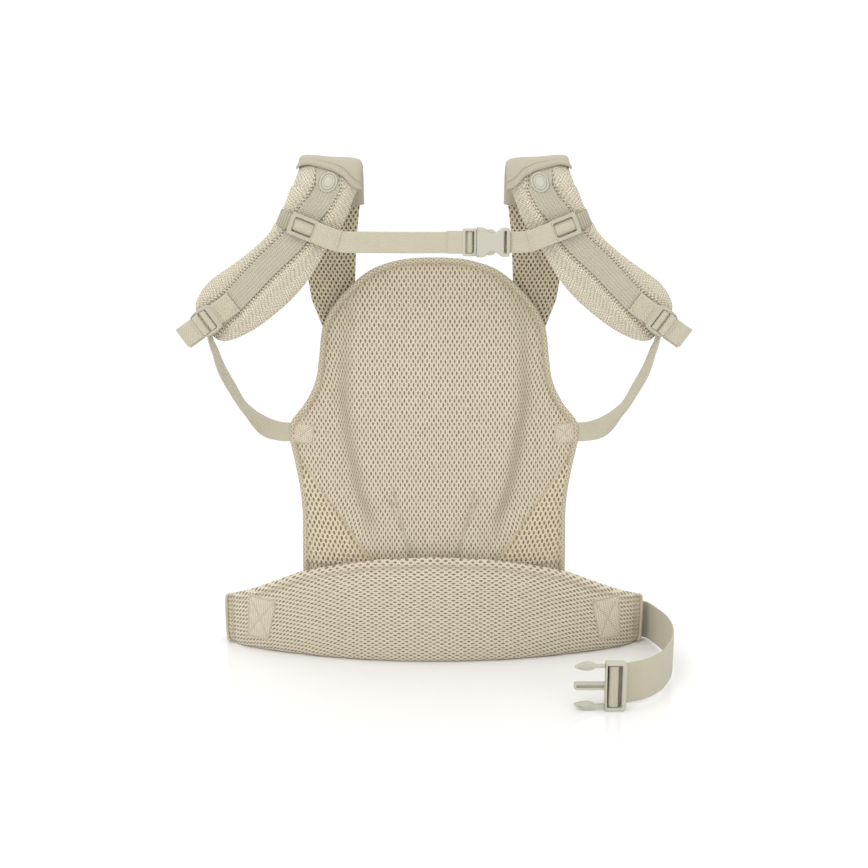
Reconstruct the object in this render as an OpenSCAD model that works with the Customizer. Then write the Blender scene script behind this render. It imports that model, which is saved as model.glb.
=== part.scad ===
// Soft structured baby carrier standing on its padded waist belt.
// The inner, wearer-facing side looks along -Y. +Z is up. The origin is the
// middle of the belt's lower edge, on the surface that the carrier stands on.

/* [Panel] */
// Height of the panel's arched top edge
panel_top = 522; // [515:1:530]
// Half width of the panel where the side straps join it
panel_half_w = 182; // [178:1:186]
// Half width of the panel just above the belt
panel_foot_half_w = 170; // [167:1:172]
// Thickness of each fabric layer of the panel
panel_skin = 2.5; // [2:0.5:3]
// Thickness of the panel's padding
panel_fill = 7; // [6:0.5:8]
// Width of the binding tape sewn round the panel's edge
binding_w = 9; // [7:0.5:10]

/* [Waist belt] */
// Height of the belt at its middle
belt_mid_h = 143; // [138:1:148]
// Height of the belt at its ends
belt_end_h = 72; // [68:1:76]
// Half width of the padded belt
belt_half_w = 278; // [274:1:282]
// Thickness of each fabric layer of the belt
belt_skin = 3; // [2:0.5:3]
// Thickness of the belt's foam
belt_fill = 16; // [14:0.5:17]
// How far out the belt starts to bend round the waist
wing_hinge_x = 178; // [176:1:180]
// How far a belt wing wraps towards the wearer, in degrees
wing_wrap = 40; // [30:1:40]
// How far a belt wing bends the other way, in degrees
wing_back = 10; // [5:1:10]

/* [Shoulder straps] */
// Thickness of a shoulder strap's padding with its covers
strap_pad_t = 14; // [13:0.5:15]
// Height of the seam where a strap swings on the panel
strap_hinge_z = 500; // [499:0.5:501]
// Forward lean of the strap behind the fold, in degrees
strap_lean = 14.5; // [14:0.5:15]
// Mean radius of the fold over the top
fold_r = 27; // [26:0.5:28]

/* [Webbing and buckles] */
// Width of the waist webbing
waist_web_w = 50; // [48:1:50]
// Width of the chest, side and shoulder webbing
web_w = 25; // [24:0.5:25]
// Thickness of the webbing
web_t = 1.6; // [1.4:0.1:1.8]
// Height of the chest strap above the floor
chest_z = 549; // [548:0.5:550]
// Height of the waist buckle
waist_buckle_h = 62; // [60:1:62]
// Height of the chest buckle
chest_buckle_h = 33.5; // [33:0.5:34]

/* [Hidden] */

MESH = "#D3C7AE";
MESH_DARK = "#C4B596";
FOAM = "#E6E0D2";
CAP = "#CCC4AC";
WEB = "#C6C0A6";
PLASTIC = "#D2CCBC";

big_fn = 256;
round_fn = 48;

// plan curvature: every wall is part of a drum about one vertical axis
drum_r = 640;
belt_front = -12;
drum_y = drum_r + belt_front;
belt_t = 2 * belt_skin + belt_fill;
belt_back_r = drum_r - belt_t;
panel_front_r = belt_back_r - 2;
panel_t = 2 * panel_skin + panel_fill;
panel_back_r = panel_front_r - panel_t;

// [x, z] half outline of the panel, from its foot up to the top of the arch
PANEL_HALF = [
  [panel_foot_half_w, 100], [panel_foot_half_w, 156], [panel_foot_half_w - 2, 229],
  [panel_half_w, 289], [panel_half_w, 308], [161, 338], [148, 366], [143, 395],
  [141, 438], [120, 466], [97, 491], [74, 510], [45, panel_top - 3], [20, panel_top - 0.6],
  [0, panel_top]
];
// [x, z] half outline of the belt, from the middle of its foot to the middle of its top
BELT_HALF = [
  [0, 0], [belt_half_w - 6, 0], [belt_half_w, 5], [belt_half_w - 1, belt_end_h],
  [belt_half_w - 37, belt_end_h + 12], [205, belt_end_h + 28],
  [172, belt_mid_h - 27], [120, belt_mid_h - 13],
  [67, belt_mid_h - 4], [0, belt_mid_h]
];
// the gusset seam runs from the panel's edge down to the belt
GUSSET_TOP = [175, 258];
GUSSET_FOOT = [90, 100];

// hinge line of a belt wing, in the middle of the belt's thickness
wing_r = drum_r - belt_t / 2;
wing_angle = asin(wing_hinge_x / wing_r);

// shoulder strap: hinge seam, straight back, fold over the top, hanging front
strap_hinge_y = 41;
strap_back_t = 10;
fold_z = 612;
strap_run = (fold_z + fold_r * sin(strap_lean) - strap_hinge_z) / cos(strap_lean);
fold_y = strap_hinge_y - strap_run * sin(strap_lean) - fold_r * cos(strap_lean);
front_y = fold_y - fold_r;
pad_front = front_y - strap_pad_t / 2;
pad_skin = 2.5;
fold_in = 84;
fold_out = 160;
// [x, z] outline of the hanging front pad, which runs a little way into the fold
pad_top = fold_z + 0.5;
PAD = [
  [fold_in, pad_top], [97, 582], [108, 563], [126, 540], [146, 507], [171, 478],
  [207, 449], [232, 435], [249, 430], [262, 434], [275, 448], [283, 466],
  [281, 480], [266, 501], [228, 528], [198, 552], [184, 569], [172, 592],
  [166, pad_top]
];
// middle line of the webbing down the front pad
PAD_WEB = [[124, pad_top], [132, 596], [143, 582], [159, 557], [175, 540], [197, 520], [234, 482], [257, 461]];
pad_web_w = 26;
// where the straight back of the strap meets the fold, before it leans
back_top_z = strap_hinge_z + strap_run;

// chest sliders sit across the webbing of the front pads
slider_x = 152;
slider_z = 566;
slider_tilt = 22;
slider_w = 32;
slider_h = 25;
slider_y = pad_front - web_t - 7.5;
slider_t = 5;
chest_y = slider_y + 1.5;

// side-strap adjuster at the lower end of a pad
adj_x = 269;
adj_z = 456;
adj_turn = -35;
adj_len = 26;
adj_w = 30;
adj_t = 5;
adj_y = pad_front - web_t - 1.5 - adj_t / 2 - 1.7;

// waist buckle, standing on its edge in front of the right wing
wb_x = 204;
wb_len = 25;
wb_y = -144;
wb_t = 12;
wb_mid = waist_buckle_h / 2;
wb_bar = 4.4;
wb_end = wb_x + wb_len;
WAIST_LOOP = [
  [wb_end + 1, -135.5], [249, -128], [264, -117], [279, -100], [291, -78],
  [300, -54], [305, -28], [306, 0], [304, 24], [299, 46], [294, 62], [289.5, 73],
  [285, 78.2], [281, 78.7]
];

// chest buckle
cb_x = 33;
cb_len = 16;
cb_reach = 24;
cb_female_x = 49.5;
cb_female_end = 88;
cb_y = chest_y - web_t / 2;
cb_t = 10;

// ---------- helpers ----------

function unit(v) = v / norm(v);
// tangent of an open path at point i
function tangent(p, i) = unit(p[min(i + 1, len(p) - 1)] - p[max(i - 1, 0)]);
// points of an open path moved sideways to its left by d
function shifted(p, d) = [for (i = [0 : len(p) - 1]) p[i] + d * [-tangent(p, i)[1], tangent(p, i)[0]]];
function backwards(p) = [for (i = [len(p) - 1 : -1 : 0]) p[i]];
// closed outline of a ribbon of width w along an open path
function ribbon(p, w) = concat(shifted(p, w / 2), backwards(shifted(p, -w / 2)));
// closed outline from its half with x >= 0, which ends on the middle line
function both_halves(half) = concat(half, [for (q = backwards(half)) if (q[0] > 0.01) [-q[0], q[1]]]);

module on_side(side) {
  if (side > 0) children();
  else mirror([1, 0, 0]) children();
}

// an [x, z] drawing given depth from y0 to y1
module upright(y0, y1) {
  translate([0, y1, 0]) rotate([90, 0, 0]) linear_extrude(y1 - y0) children();
}

// wall between two radii of the drum
module drum_wall(r_in, r_out) {
  translate([0, drum_y, -1]) difference() {
    cylinder(h = 700, r = r_out, $fn = big_fn);
    translate([0, 0, -1]) cylinder(h = 702, r = r_in, $fn = big_fn);
  }
}

// an [x, z] drawing bent onto the drum between two radii
module on_drum(r_in, r_out) {
  intersection() {
    upright(-60, 160) children();
    drum_wall(r_in, r_out);
  }
}

// plan drawing with the wing hinge at its origin and the belt running along +X
module at_wing_hinge(side, h) {
  on_side(side)
    translate([wing_r * sin(wing_angle), drum_y - wing_r * cos(wing_angle), -2])
      rotate([0, 0, wing_angle]) linear_extrude(h) children();
}

// what the belt's middle part leaves free for a wing's rounded end and its swing
module wing_room(side) {
  front_a = wing_wrap + 2;
  back_a = wing_back + 2;
  at_wing_hinge(side, 200) union() {
    circle(r = belt_t / 2 + 0.8, $fn = round_fn);
    polygon([
      [0, 0], [-70 * sin(front_a), -70 * cos(front_a)], [160, -70],
      [160, 70], [-70 * sin(back_a), 70 * cos(back_a)]
    ]);
  }
}

// the space that a wing fills: a rounded end about the hinge, and everything outboard
module wing_space(side) {
  at_wing_hinge(side, 200) union() {
    circle(r = belt_t / 2 + 0.2, $fn = round_fn);
    translate([0, -60]) square([150, 120]);
  }
}

module belt_outline() {
  polygon(both_halves(BELT_HALF));
}

// one layer of the belt between two radii: part 0 is the middle, -1 and 1 the wings
module belt_layer(part, r_in, r_out) {
  if (part == 0)
    difference() {
      on_drum(r_in, r_out) belt_outline();
      wing_room(-1);
      wing_room(1);
    }
  else
    intersection() {
      on_drum(r_in, r_out) belt_outline();
      wing_space(part);
    }
}

// ---------- panel ----------

module panel_outline() {
  polygon(both_halves(PANEL_HALF));
}

// corner of the panel outside the gusset seam
module gusset_outline(side) {
  mirror([side > 0 ? 0 : 1, 0]) intersection() {
    panel_outline();
    polygon([GUSSET_FOOT, [300, GUSSET_FOOT[1]], [300, GUSSET_TOP[1]], GUSSET_TOP]);
  }
}

module panel_liner() {
  color(MESH) on_drum(panel_front_r - panel_skin, panel_front_r) difference() {
    panel_outline();
    gusset_outline(-1);
    gusset_outline(1);
  }
}

module side_gusset(side) {
  color(MESH_DARK) on_drum(panel_front_r - panel_skin, panel_front_r) gusset_outline(side);
}

module panel_padding() {
  edge = shifted(PANEL_HALF, 8);
  color(FOAM) on_drum(panel_back_r + panel_skin, panel_front_r - panel_skin)
    polygon(both_halves(edge));
}

module panel_shell() {
  color(MESH) on_drum(panel_back_r, panel_back_r + panel_skin) panel_outline();
}

// tape round the visible edge of the panel
module panel_binding() {
  edge = [for (i = [1 : len(PANEL_HALF) - 1]) PANEL_HALF[i]];
  outline = concat(edge, backwards(shifted(edge, binding_w)));
  color(CAP) on_drum(panel_front_r, panel_front_r + 1.4) union() {
    polygon(outline);
    mirror([1, 0]) polygon(outline);
  }
}

module side_tab(side) {
  color(WEB) on_side(side) on_drum(panel_front_r, panel_front_r + 1.2)
    translate([146, 288.5]) square([21, web_w]);
}

// ---------- belt ----------

module belt_liner(part) {
  color(MESH) belt_layer(part, drum_r - belt_skin, drum_r);
}

module belt_foam(part) {
  color(FOAM) belt_layer(part, belt_back_r + belt_skin, drum_r - belt_skin);
}

module belt_shell(part) {
  color(MESH) belt_layer(part, belt_back_r, belt_back_r + belt_skin);
}

// webbing sewn along the back of a wing, in plan, out to the belt's end
function wing_web(x0, x1) = [for (i = [0 : 6])
  let(x = x0 + (x1 - x0) * i / 6)
    [x, drum_y - sqrt(pow(belt_back_r - web_t / 2 - 0.3, 2) - x * x)]];

module waist_ribbon(path) {
  translate([0, 0, wb_mid - waist_web_w / 2]) linear_extrude(waist_web_w) polygon(ribbon(path, web_t));
}

module waist_web_right() {
  color(WEB) waist_ribbon(concat(WAIST_LOOP, backwards(wing_web(205, 277))));
}

module waist_web_left() {
  color(WEB) waist_ribbon(concat(
    wing_web(-205, -266), [[-275, 75.4], [-281, 79.5], [-280.5, 84], [-272, 85.5], [-261, 82], [-251, 79.6]]
  ));
}

// socket half, tucked behind the left wing with its mouth towards the middle
module waist_buckle_female() {
  x0 = -250;
  y0 = 72;
  depth = 14;
  len = 46;
  color(PLASTIC) difference() {
    translate([x0, y0, 0]) cube([len, depth, waist_buckle_h]);
    // mouth and cavity for the prongs
    translate([x0 + 10, y0 + 3, 5]) cube([len, depth - 6, waist_buckle_h - 10]);
    // side windows that show the prong heads
    for (z = [-1, waist_buckle_h - 8])
      translate([x0 + 14, y0 + 2, z]) cube([16, depth - 4, 9]);
    // slot for the webbing
    translate([x0 + 4, y0 - 1, 5]) cube([3.5, depth + 2, waist_buckle_h - 10]);
  }
}

// prong half: frame with a crosspiece that the webbing wraps
module waist_buckle_male() {
  y0 = wb_y - wb_t / 2;
  color(PLASTIC) union() {
    difference() {
      translate([wb_x, y0, 0]) cube([wb_len, wb_t, waist_buckle_h]);
      translate([wb_x + 3, y0 - 1, 5.5]) cube([wb_len - 8, wb_t + 2, waist_buckle_h - 11]);
    }
    // crosspiece
    translate([wb_x + 8, wb_y - wb_bar / 2, 5]) cube([wb_bar + 1, wb_bar, waist_buckle_h - 10]);
    // middle tongue with a groove
    difference() {
      translate([wb_x - 37, wb_y - 3, wb_mid - 4]) cube([37.5, 6, 8]);
      translate([wb_x - 34, wb_y - 4, wb_mid - 1.5]) cube([32, 2, 3]);
    }
  }
}

// webbing round the crosspiece, with its free end behind the frame
module waist_web_wrap() {
  x0 = wb_x + 8 - 0.4;
  x1 = wb_x + 8 + wb_bar + 1.4;
  y0 = wb_y - wb_bar / 2 - 0.4;
  y1 = wb_y + wb_bar / 2 + 0.4;
  h = waist_web_w - 1;
  color(WEB) translate([0, 0, wb_mid - h / 2]) difference() {
    union() {
      translate([x0 - web_t, y0 - web_t, 0]) cube([x1 - x0 + 2 * web_t, y1 - y0 + 2 * web_t, h]);
      translate([x1, y1, 0]) cube([web_t, wb_t / 2 - wb_bar / 2 + 0.2, h]);
      translate([x1, wb_y + wb_t / 2 + 0.2, 0]) cube([wb_end - x1 - 0.8, web_t, h]);
    }
    translate([x0, y0, -1]) cube([x1 - x0, y1 - y0, h + 2]);
  }
}

// barbed spring arm above (1) or below (-1) the tongue
module waist_prong(side) {
  barb = [[0, -3], [0, 1], [-12, 1.5], [-14, 5.5], [-25, 6], [-36, -1.5], [-35, -3.5], [-20, -4], [-12, -2.6]];
  color(PLASTIC) translate([wb_x - 0.6, wb_y + 3, wb_mid]) mirror([0, 0, side > 0 ? 0 : 1])
    translate([0, 0, waist_buckle_h / 2 - 7]) rotate([90, 0, 0]) linear_extrude(6) polygon(barb);
}

// ---------- shoulder straps (drawn for the right side) ----------

// strap root sewn behind the panel
module strap_root(side) {
  color(MESH_DARK) on_side(side) intersection() {
    on_drum(panel_back_r - strap_back_t, panel_back_r)
      polygon([[97, 432], [139, 432], [144, 452], [152, strap_hinge_z - 4], [97, strap_hinge_z - 4]]);
    upright(-10, 60) translate([80, 400]) square([90, strap_hinge_z - 404]);
  }
}

// straight back of the strap, leaning forward from the hinge seam
module strap_back(side) {
  color(MESH_DARK) on_side(side)
    translate([0, strap_hinge_y, strap_hinge_z]) rotate([strap_lean, 0, 0])
      translate([0, -strap_hinge_y, -strap_hinge_z])
        upright(strap_hinge_y - strap_back_t / 2, strap_hinge_y + strap_back_t / 2)
          polygon([
            [97, strap_hinge_z + 4], [152, strap_hinge_z + 4], [156, 540], [158, 580],
            [fold_out, back_top_z], [fold_in, back_top_z], [89, 590], [94, 560]
          ]);
}

// part of a tube about the fold's axis: from angle a0 at the back over the top to a1
module fold_arc(r_in, r_out, x0, x1, a0, a1) {
  translate([0, fold_y, fold_z]) rotate([0, 90, 0]) rotate([0, 0, 90 + a0])
    rotate_extrude(angle = a1 - a0, $fn = round_fn * 2)
      translate([r_in, x0]) square([r_out - r_in, x1 - x0]);
}

// a layer of the padded strap: d0 and d1 are its faces, measured out from the fold's inside
module strap_layer(d0, d1) {
  r0 = fold_r - strap_pad_t / 2;
  union() {
    fold_arc(r0 + d0, r0 + d1, fold_in, fold_out, strap_lean, 180);
    upright(fold_y - r0 - d1, fold_y - r0 - d0) polygon(PAD);
  }
}

module strap_lining(side) {
  color(MESH) on_side(side) strap_layer(0, pad_skin);
}

module strap_foam(side) {
  color(FOAM) on_side(side) strap_layer(pad_skin, strap_pad_t - pad_skin);
}

module strap_cover(side) {
  color(MESH) on_side(side) strap_layer(strap_pad_t - pad_skin, strap_pad_t);
}

// smooth cap over the fold
module strap_cap(side) {
  r0 = fold_r + strap_pad_t / 2;
  color(CAP) on_side(side) fold_arc(r0, r0 + 3, fold_in + 2, fold_out + 2, 0, 128);
}

module strap_web(side) {
  r0 = fold_r + strap_pad_t / 2;
  x0 = PAD_WEB[0][0] - pad_web_w / 2;
  color(WEB) on_side(side) union() {
    fold_arc(r0, r0 + web_t, x0, x0 + pad_web_w, 130, 180);
    upright(pad_front - web_t, pad_front) polygon(ribbon(PAD_WEB, pad_web_w));
  }
}

// plain rubber patch sewn on the webbing
module strap_patch(side) {
  r0 = fold_r + strap_pad_t / 2 + web_t;
  color(PLASTIC) on_side(side) fold_arc(r0, r0 + 2, 111, 133, 154, 188);
}

// frame of the adjuster: u runs down the strap and out, w across it
module at_adjuster() {
  translate([adj_x, adj_y, adj_z]) rotate([0, -adj_turn, 0]) children();
}

module adjuster_tab(side) {
  tab_len = 25;
  color(WEB) on_side(side) at_adjuster()
    translate([-adj_len / 2 - tab_len - 0.6, adj_t / 2, -13]) cube([tab_len, 1.5, 26]);
}

module adjuster(side) {
  bar_r = adj_t / 2;
  color(PLASTIC) on_side(side) at_adjuster() union() {
    // round bar in the tab, on which the adjuster tilts
    translate([bar_r - adj_len / 2, 0, -adj_w / 2]) cylinder(h = adj_w, r = bar_r, $fn = round_fn);
    difference() {
      translate([bar_r - adj_len / 2, -bar_r, -adj_w / 2]) cube([adj_len - bar_r, adj_t, adj_w]);
      for (u = [-adj_len / 2 + adj_t, 3])
        translate([u, -adj_t, -web_w / 2 - 0.5]) cube([5.5, 2 * adj_t, web_w + 1]);
    }
  }
}

// free end of the side strap, folded into a sewn bundle
module web_tail(side) {
  color(WEB) on_side(side) at_adjuster() union() {
    translate([adj_len / 2 + 0.4, -adj_t / 2 - web_t, -web_w / 2]) cube([22, adj_t + web_t, web_w]);
    translate([-1, -adj_t / 2 - web_t - 0.2, -web_w / 2]) cube([adj_len / 2 + 3.4, web_t, web_w]);
  }
}

// webbing from the adjuster to the panel: [x, y, z, twist], twist 0 is flat to the
// front and 90 is edge on
SIDE_STRAP = [
  [272, -52, 427, 30], [269, -48, 419, 65], [264, -41, 405, 85], [256, -30, 388, 90], [243, -17, 364, 90],
  [228, -3, 343, 90], [213, 11, 325, 75], [200, 24, 312, 40], [191, 35, 304, 12], [185.5, 42.5, 301, 0]
];
function strap_point(i) = [SIDE_STRAP[i][0], SIDE_STRAP[i][1], SIDE_STRAP[i][2]];
function strap_along(i) = unit(strap_point(min(i + 1, len(SIDE_STRAP) - 1)) - strap_point(max(i - 1, 0)));
// across the strap, turned about its own direction by the twist
function strap_across(i) =
  let(a = strap_along(i), flat = unit(cross([0, 1, 0], a)), deep = cross(a, flat), t = SIDE_STRAP[i][3])
    flat * cos(t) + deep * sin(t);

module side_strap(side) {
  n = len(SIDE_STRAP);
  points = [for (i = [0 : n - 1])
    let(c = strap_point(i), w = strap_across(i) * web_w / 2, t = cross(strap_along(i), strap_across(i)) * web_t / 2)
      each [c - w - t, c + w - t, c + w + t, c - w + t]];
  faces = concat(
    [[0, 1, 2], [0, 2, 3], [4 * n - 1, 4 * n - 2, 4 * n - 3], [4 * n - 1, 4 * n - 3, 4 * n - 4]],
    [for (i = [0 : n - 2], k = [0 : 3])
      let(a = 4 * i + k, b = 4 * i + (k + 1) % 4)
        each [[a, a + 4, b + 4], [a, b + 4, b]]]
  );
  color(WEB) on_side(side) polyhedron(points, faces);
}

// ---------- chest strap ----------

module at_slider() {
  translate([slider_x, slider_y, slider_z]) rotate([0, -slider_tilt, 0]) children();
}

module chest_slider(side) {
  color(PLASTIC) on_side(side) at_slider() difference() {
    translate([-slider_w / 2, 0, -slider_h / 2]) cube([slider_w, slider_t, slider_h]);
    // windows above and below the middle bar
    for (z = [-slider_h / 2 + 3.5, 1.5])
      translate([-7.5, -1, z]) cube([15, slider_t + 2, slider_h / 2 - 5]);
    // narrow slots for the chest webbing and the elastic
    for (x = [-slider_w / 2 + 2.5, slider_w / 2 - 5.5])
      translate([x, -1, -slider_h / 2 + 3]) cube([3, slider_t + 2, slider_h - 6]);
  }
}

// elastic from the slider's outer slot to the edge of the pad
module chest_elastic(side) {
  color(WEB) on_side(side) at_slider()
    translate([slider_w / 2 + 0.3, slider_t - 1.4, -9]) cube([20, 1.2, 18]);
}

module chest_ribbon(path) {
  upright(chest_y - web_t, chest_y) polygon(ribbon(path, web_w));
}

module chest_web_right() {
  color(WEB) chest_ribbon([[135.5, 559.5], [122, 554], [108, chest_z], [cb_female_end + 0.4, chest_z]]);
}

module chest_web_left() {
  color(WEB) mirror([1, 0, 0])
    chest_ribbon([[135.5, 559.5], [122, 554], [108, chest_z], [-cb_x - 1, chest_z]]);
}

// free end of the chest webbing, folded back over it by the buckle and held in a keeper
module chest_web_wrap() {
  len = 17.5;
  color(WEB) translate([cb_x - 0.3 - len, cb_y, chest_z]) difference() {
    translate([0, -2.9, -web_w / 2 - 0.8]) cube([len, 5.8, web_w + 1.6]);
    translate([-1, -web_t / 2 - 0.35, -web_w / 2 - 0.3]) cube([len + 2, web_t + 0.7, web_w + 0.6]);
  }
}

// socket half of the chest buckle
module chest_buckle_female() {
  h = chest_buckle_h;
  color(PLASTIC) translate([0, cb_y - cb_t / 2, chest_z - h / 2]) difference() {
    translate([cb_female_x, 0, 0]) cube([cb_female_end - cb_female_x, cb_t, h]);
    // cavity for the prongs and the tongue
    translate([cb_female_x - 1, 2.2, h / 2 - 12]) cube([29, cb_t - 4.4, 24]);
    // side windows
    for (z = [-1, h - 6])
      translate([cb_female_x + 9.5, 1.2, z]) cube([16, cb_t - 2.4, 7]);
    // slot behind the end bar
    translate([cb_female_end - 6.5, -1, h / 2 - web_w / 2 - 0.3]) cube([3, cb_t + 2, web_w + 0.6]);
  }
}

// frame of the prong half, with a tunnel for the webbing
module chest_buckle_male() {
  h = chest_buckle_h - 1.5;
  color(PLASTIC) translate([0, cb_y, chest_z]) union() {
    difference() {
      translate([cb_x, -4, -h / 2]) cube([cb_len, 8, h]);
      // tunnel that the webbing runs through
      translate([cb_x - 1, -web_t / 2 - 0.35, -web_w / 2 - 0.3]) cube([cb_len - 2.5, web_t + 0.7, web_w + 0.6]);
      // front window with a crossbar
      for (x = [cb_x + 2, cb_x + 8.5])
        translate([x, -5, -web_w / 2 - 0.3]) cube([4, 5, web_w + 0.6]);
    }
    // tongue
    translate([cb_x + cb_len - 0.5, -2, -2]) cube([cb_reach - 2, 4, 4]);
  }
}

// barbed spring arm above (1) or below (-1) the tongue
module chest_prong(side) {
  barb = [[0.6, 7], [0.6, 10.5], [11, 11], [12.5, 14.6], [18, 14.6], [cb_reach, 10.5], [cb_reach, 8.5], [14, 7.6]];
  color(PLASTIC) translate([cb_x + cb_len, cb_y + 2.4, chest_z]) mirror([0, 0, side > 0 ? 0 : 1])
    rotate([90, 0, 0]) linear_extrude(4.8) polygon(barb);
}

panel_liner();
panel_padding();
panel_shell();
panel_binding();
side_gusset(-1);  // side_gusset_left
side_gusset(1);  // side_gusset_right
belt_liner(0);  // belt_liner_centre
belt_foam(0);  // belt_foam_centre
belt_shell(0);  // belt_shell_centre
belt_liner(-1);  // belt_liner_left
belt_foam(-1);  // belt_foam_left
belt_shell(-1);  // belt_shell_left
belt_liner(1);  // belt_liner_right
belt_foam(1);  // belt_foam_right
belt_shell(1);  // belt_shell_right
waist_web_left();
waist_buckle_female();
waist_web_right();
waist_buckle_male();
waist_web_wrap();
waist_prong(1);  // waist_prong_upper
waist_prong(-1);  // waist_prong_lower
side_tab(-1);  // side_tab_left
side_tab(1);  // side_tab_right
side_strap(-1);  // side_strap_left
side_strap(1);  // side_strap_right
strap_root(-1);  // strap_root_left
strap_back(-1);  // strap_back_left
strap_cover(-1);  // strap_cover_left
strap_foam(-1);  // strap_foam_left
strap_lining(-1);  // strap_lining_left
strap_cap(-1);  // strap_cap_left
strap_web(-1);  // strap_web_left
strap_patch(-1);  // strap_patch_left
adjuster_tab(-1);  // adjuster_tab_left
adjuster(-1);  // adjuster_left
web_tail(-1);  // web_tail_left
strap_root(1);  // strap_root_right
strap_back(1);  // strap_back_right
strap_cover(1);  // strap_cover_right
strap_foam(1);  // strap_foam_right
strap_lining(1);  // strap_lining_right
strap_cap(1);  // strap_cap_right
strap_web(1);  // strap_web_right
strap_patch(1);  // strap_patch_right
adjuster_tab(1);  // adjuster_tab_right
adjuster(1);  // adjuster_right
web_tail(1);  // web_tail_right
chest_slider(-1);  // chest_slider_left
chest_elastic(-1);  // chest_elastic_left
chest_web_left();
chest_slider(1);  // chest_slider_right
chest_elastic(1);  // chest_elastic_right
chest_web_right();
chest_buckle_female();
chest_buckle_male();
chest_web_wrap();
chest_prong(1);  // chest_prong_upper
chest_prong(-1);  // chest_prong_lower
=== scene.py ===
import math

import bmesh
import bpy
import numpy as np
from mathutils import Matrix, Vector
from mathutils.bvhtree import BVHTree


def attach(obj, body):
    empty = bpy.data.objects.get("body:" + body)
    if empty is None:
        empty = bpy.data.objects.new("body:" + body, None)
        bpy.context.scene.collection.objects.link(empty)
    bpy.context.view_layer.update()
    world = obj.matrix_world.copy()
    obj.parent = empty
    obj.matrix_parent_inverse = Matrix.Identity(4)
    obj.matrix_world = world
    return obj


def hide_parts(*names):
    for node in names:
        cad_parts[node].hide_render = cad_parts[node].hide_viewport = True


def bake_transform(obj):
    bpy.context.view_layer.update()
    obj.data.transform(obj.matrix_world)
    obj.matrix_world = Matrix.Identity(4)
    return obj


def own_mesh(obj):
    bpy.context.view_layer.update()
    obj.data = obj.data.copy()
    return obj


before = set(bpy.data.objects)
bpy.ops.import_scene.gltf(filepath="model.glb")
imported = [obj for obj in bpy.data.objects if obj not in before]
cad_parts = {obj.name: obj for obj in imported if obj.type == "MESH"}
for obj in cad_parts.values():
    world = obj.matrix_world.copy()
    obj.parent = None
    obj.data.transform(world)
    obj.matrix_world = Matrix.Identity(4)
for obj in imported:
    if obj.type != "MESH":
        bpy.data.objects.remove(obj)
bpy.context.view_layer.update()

MM = 0.001
DRUM_Y = 628.0
SIDES = (("right", 1), ("left", -1))

# outlines of part.scad, in millimetres, as (x, z)
PANEL_HALF = [
    (170, 100), (170, 128), (169.5, 160), (169, 195), (171.5, 226), (177, 258), (182.5, 284), (183, 294),
    (181, 311),
    (161, 338), (148, 366), (143, 395), (137, 436), (120, 466), (97, 491), (74, 508), (45, 518),
    (20, 521.4), (0, 522),
]
BELT_TOP = [(0, 143), (67, 139), (120, 130), (172, 116), (205, 100), (241, 82.5), (268, 71.5), (278, 67)]
PAD_INNER = [(89, 612), (99, 585), (109, 563), (126, 540), (146, 507), (171, 478), (207, 449), (232, 435),
             (249, 430), (257, 431)]
PAD_OUTER = [(166, 612), (175, 590), (186, 570), (199, 552), (228, 528), (266, 501), (281, 480), (283, 466),
             (275, 448), (268, 439)]
PAD_WEB = [(124, 612), (132, 596), (143, 582), (159, 557), (175, 540), (197, 520), (234, 482), (257, 461)]
# foot and top of the gusset's seam and of the two darts, as (x, z)
GUSSET_SEAM = ((58, 100), (173, 263))
DARTS = (((29, 144), (58, 220)), ((31, 138), (53, 234)))
# heights of the long folds beside the panel's middle, and their distance from it
FOLD_RISE = [150, 197, 224, 278, 344, 421, 483]
FOLD_ASIDE = [76, 85, 95, 105, 114, 110, 101]
# distances from the drum's axis, and the x where the belt ends
PANEL_FRONT = 616
PANEL_BACK = 604
BELT_MIDDLE = 629
BELT_END = 277.6
# shoulder strap: axis and radius of its fold, plane of the hanging pad, lean of the back, seam on the panel
FOLD_Y = -15.853
FOLD_Z = 612.0
FOLD_RADIUS = 27
FOLD_ARC = 36  # radius on which distances along the cap are measured
PAD_Y = -42.853
LEAN = math.radians(14.5)
SEAM_YZ = (41.0, 500.0)
# lip of the cap: angle round the fold at each x; its hem lies below the fold on the back
LIP_X = [84, 91, 97, 103, 117, 134, 150, 159, 167]
LIP_ANGLE = [180, 175, 166, 154, 141, 135, 131, 132, 135]
CAP_HEM = -30
CHEST_Z = 549
WAIST_Z = 31
QUILT_LIFT = 0.4  # height of a quilted patch above what it is sewn to
HARD_EDGE = 52  # degrees

CAMERA_PLACE = (0, -1.6, 0.7)
CAMERA_AIM = (0, 0, 0.305)
LENS, SENSOR = 54.68, 36
FLOOR_REACH = 60
LIGHTS = (  # name, place, aim, size, power
    ("key", (-0.9, -1.3, 1.9), (0, 0, 0.3), (1.0, 1.0), 10),
    ("fill", (-1.3, -1.5, 0.6), (0.2, 0, 0.1), (1.0, 1.0), 3),
    ("fill_right", (1.5, -1.5, 0.7), (0.1, 0, 0.15), (1.2, 1.2), 5),
    ("top", (0, 0.3, 2.2), (0, 0, 0.3), (1.6, 1.2), 6),
)


# ---------- camera, light and floor ----------

def add_camera():
    data = bpy.data.cameras.new("camera")
    data.lens = LENS
    data.sensor_width = SENSOR
    camera = bpy.data.objects.new("camera", data)
    camera.location = CAMERA_PLACE
    aim = Vector(CAMERA_AIM) - camera.location
    camera.rotation_euler = aim.to_track_quat("-Z", "Y").to_euler()
    bpy.context.scene.collection.objects.link(camera)
    bpy.context.scene.camera = camera


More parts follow.
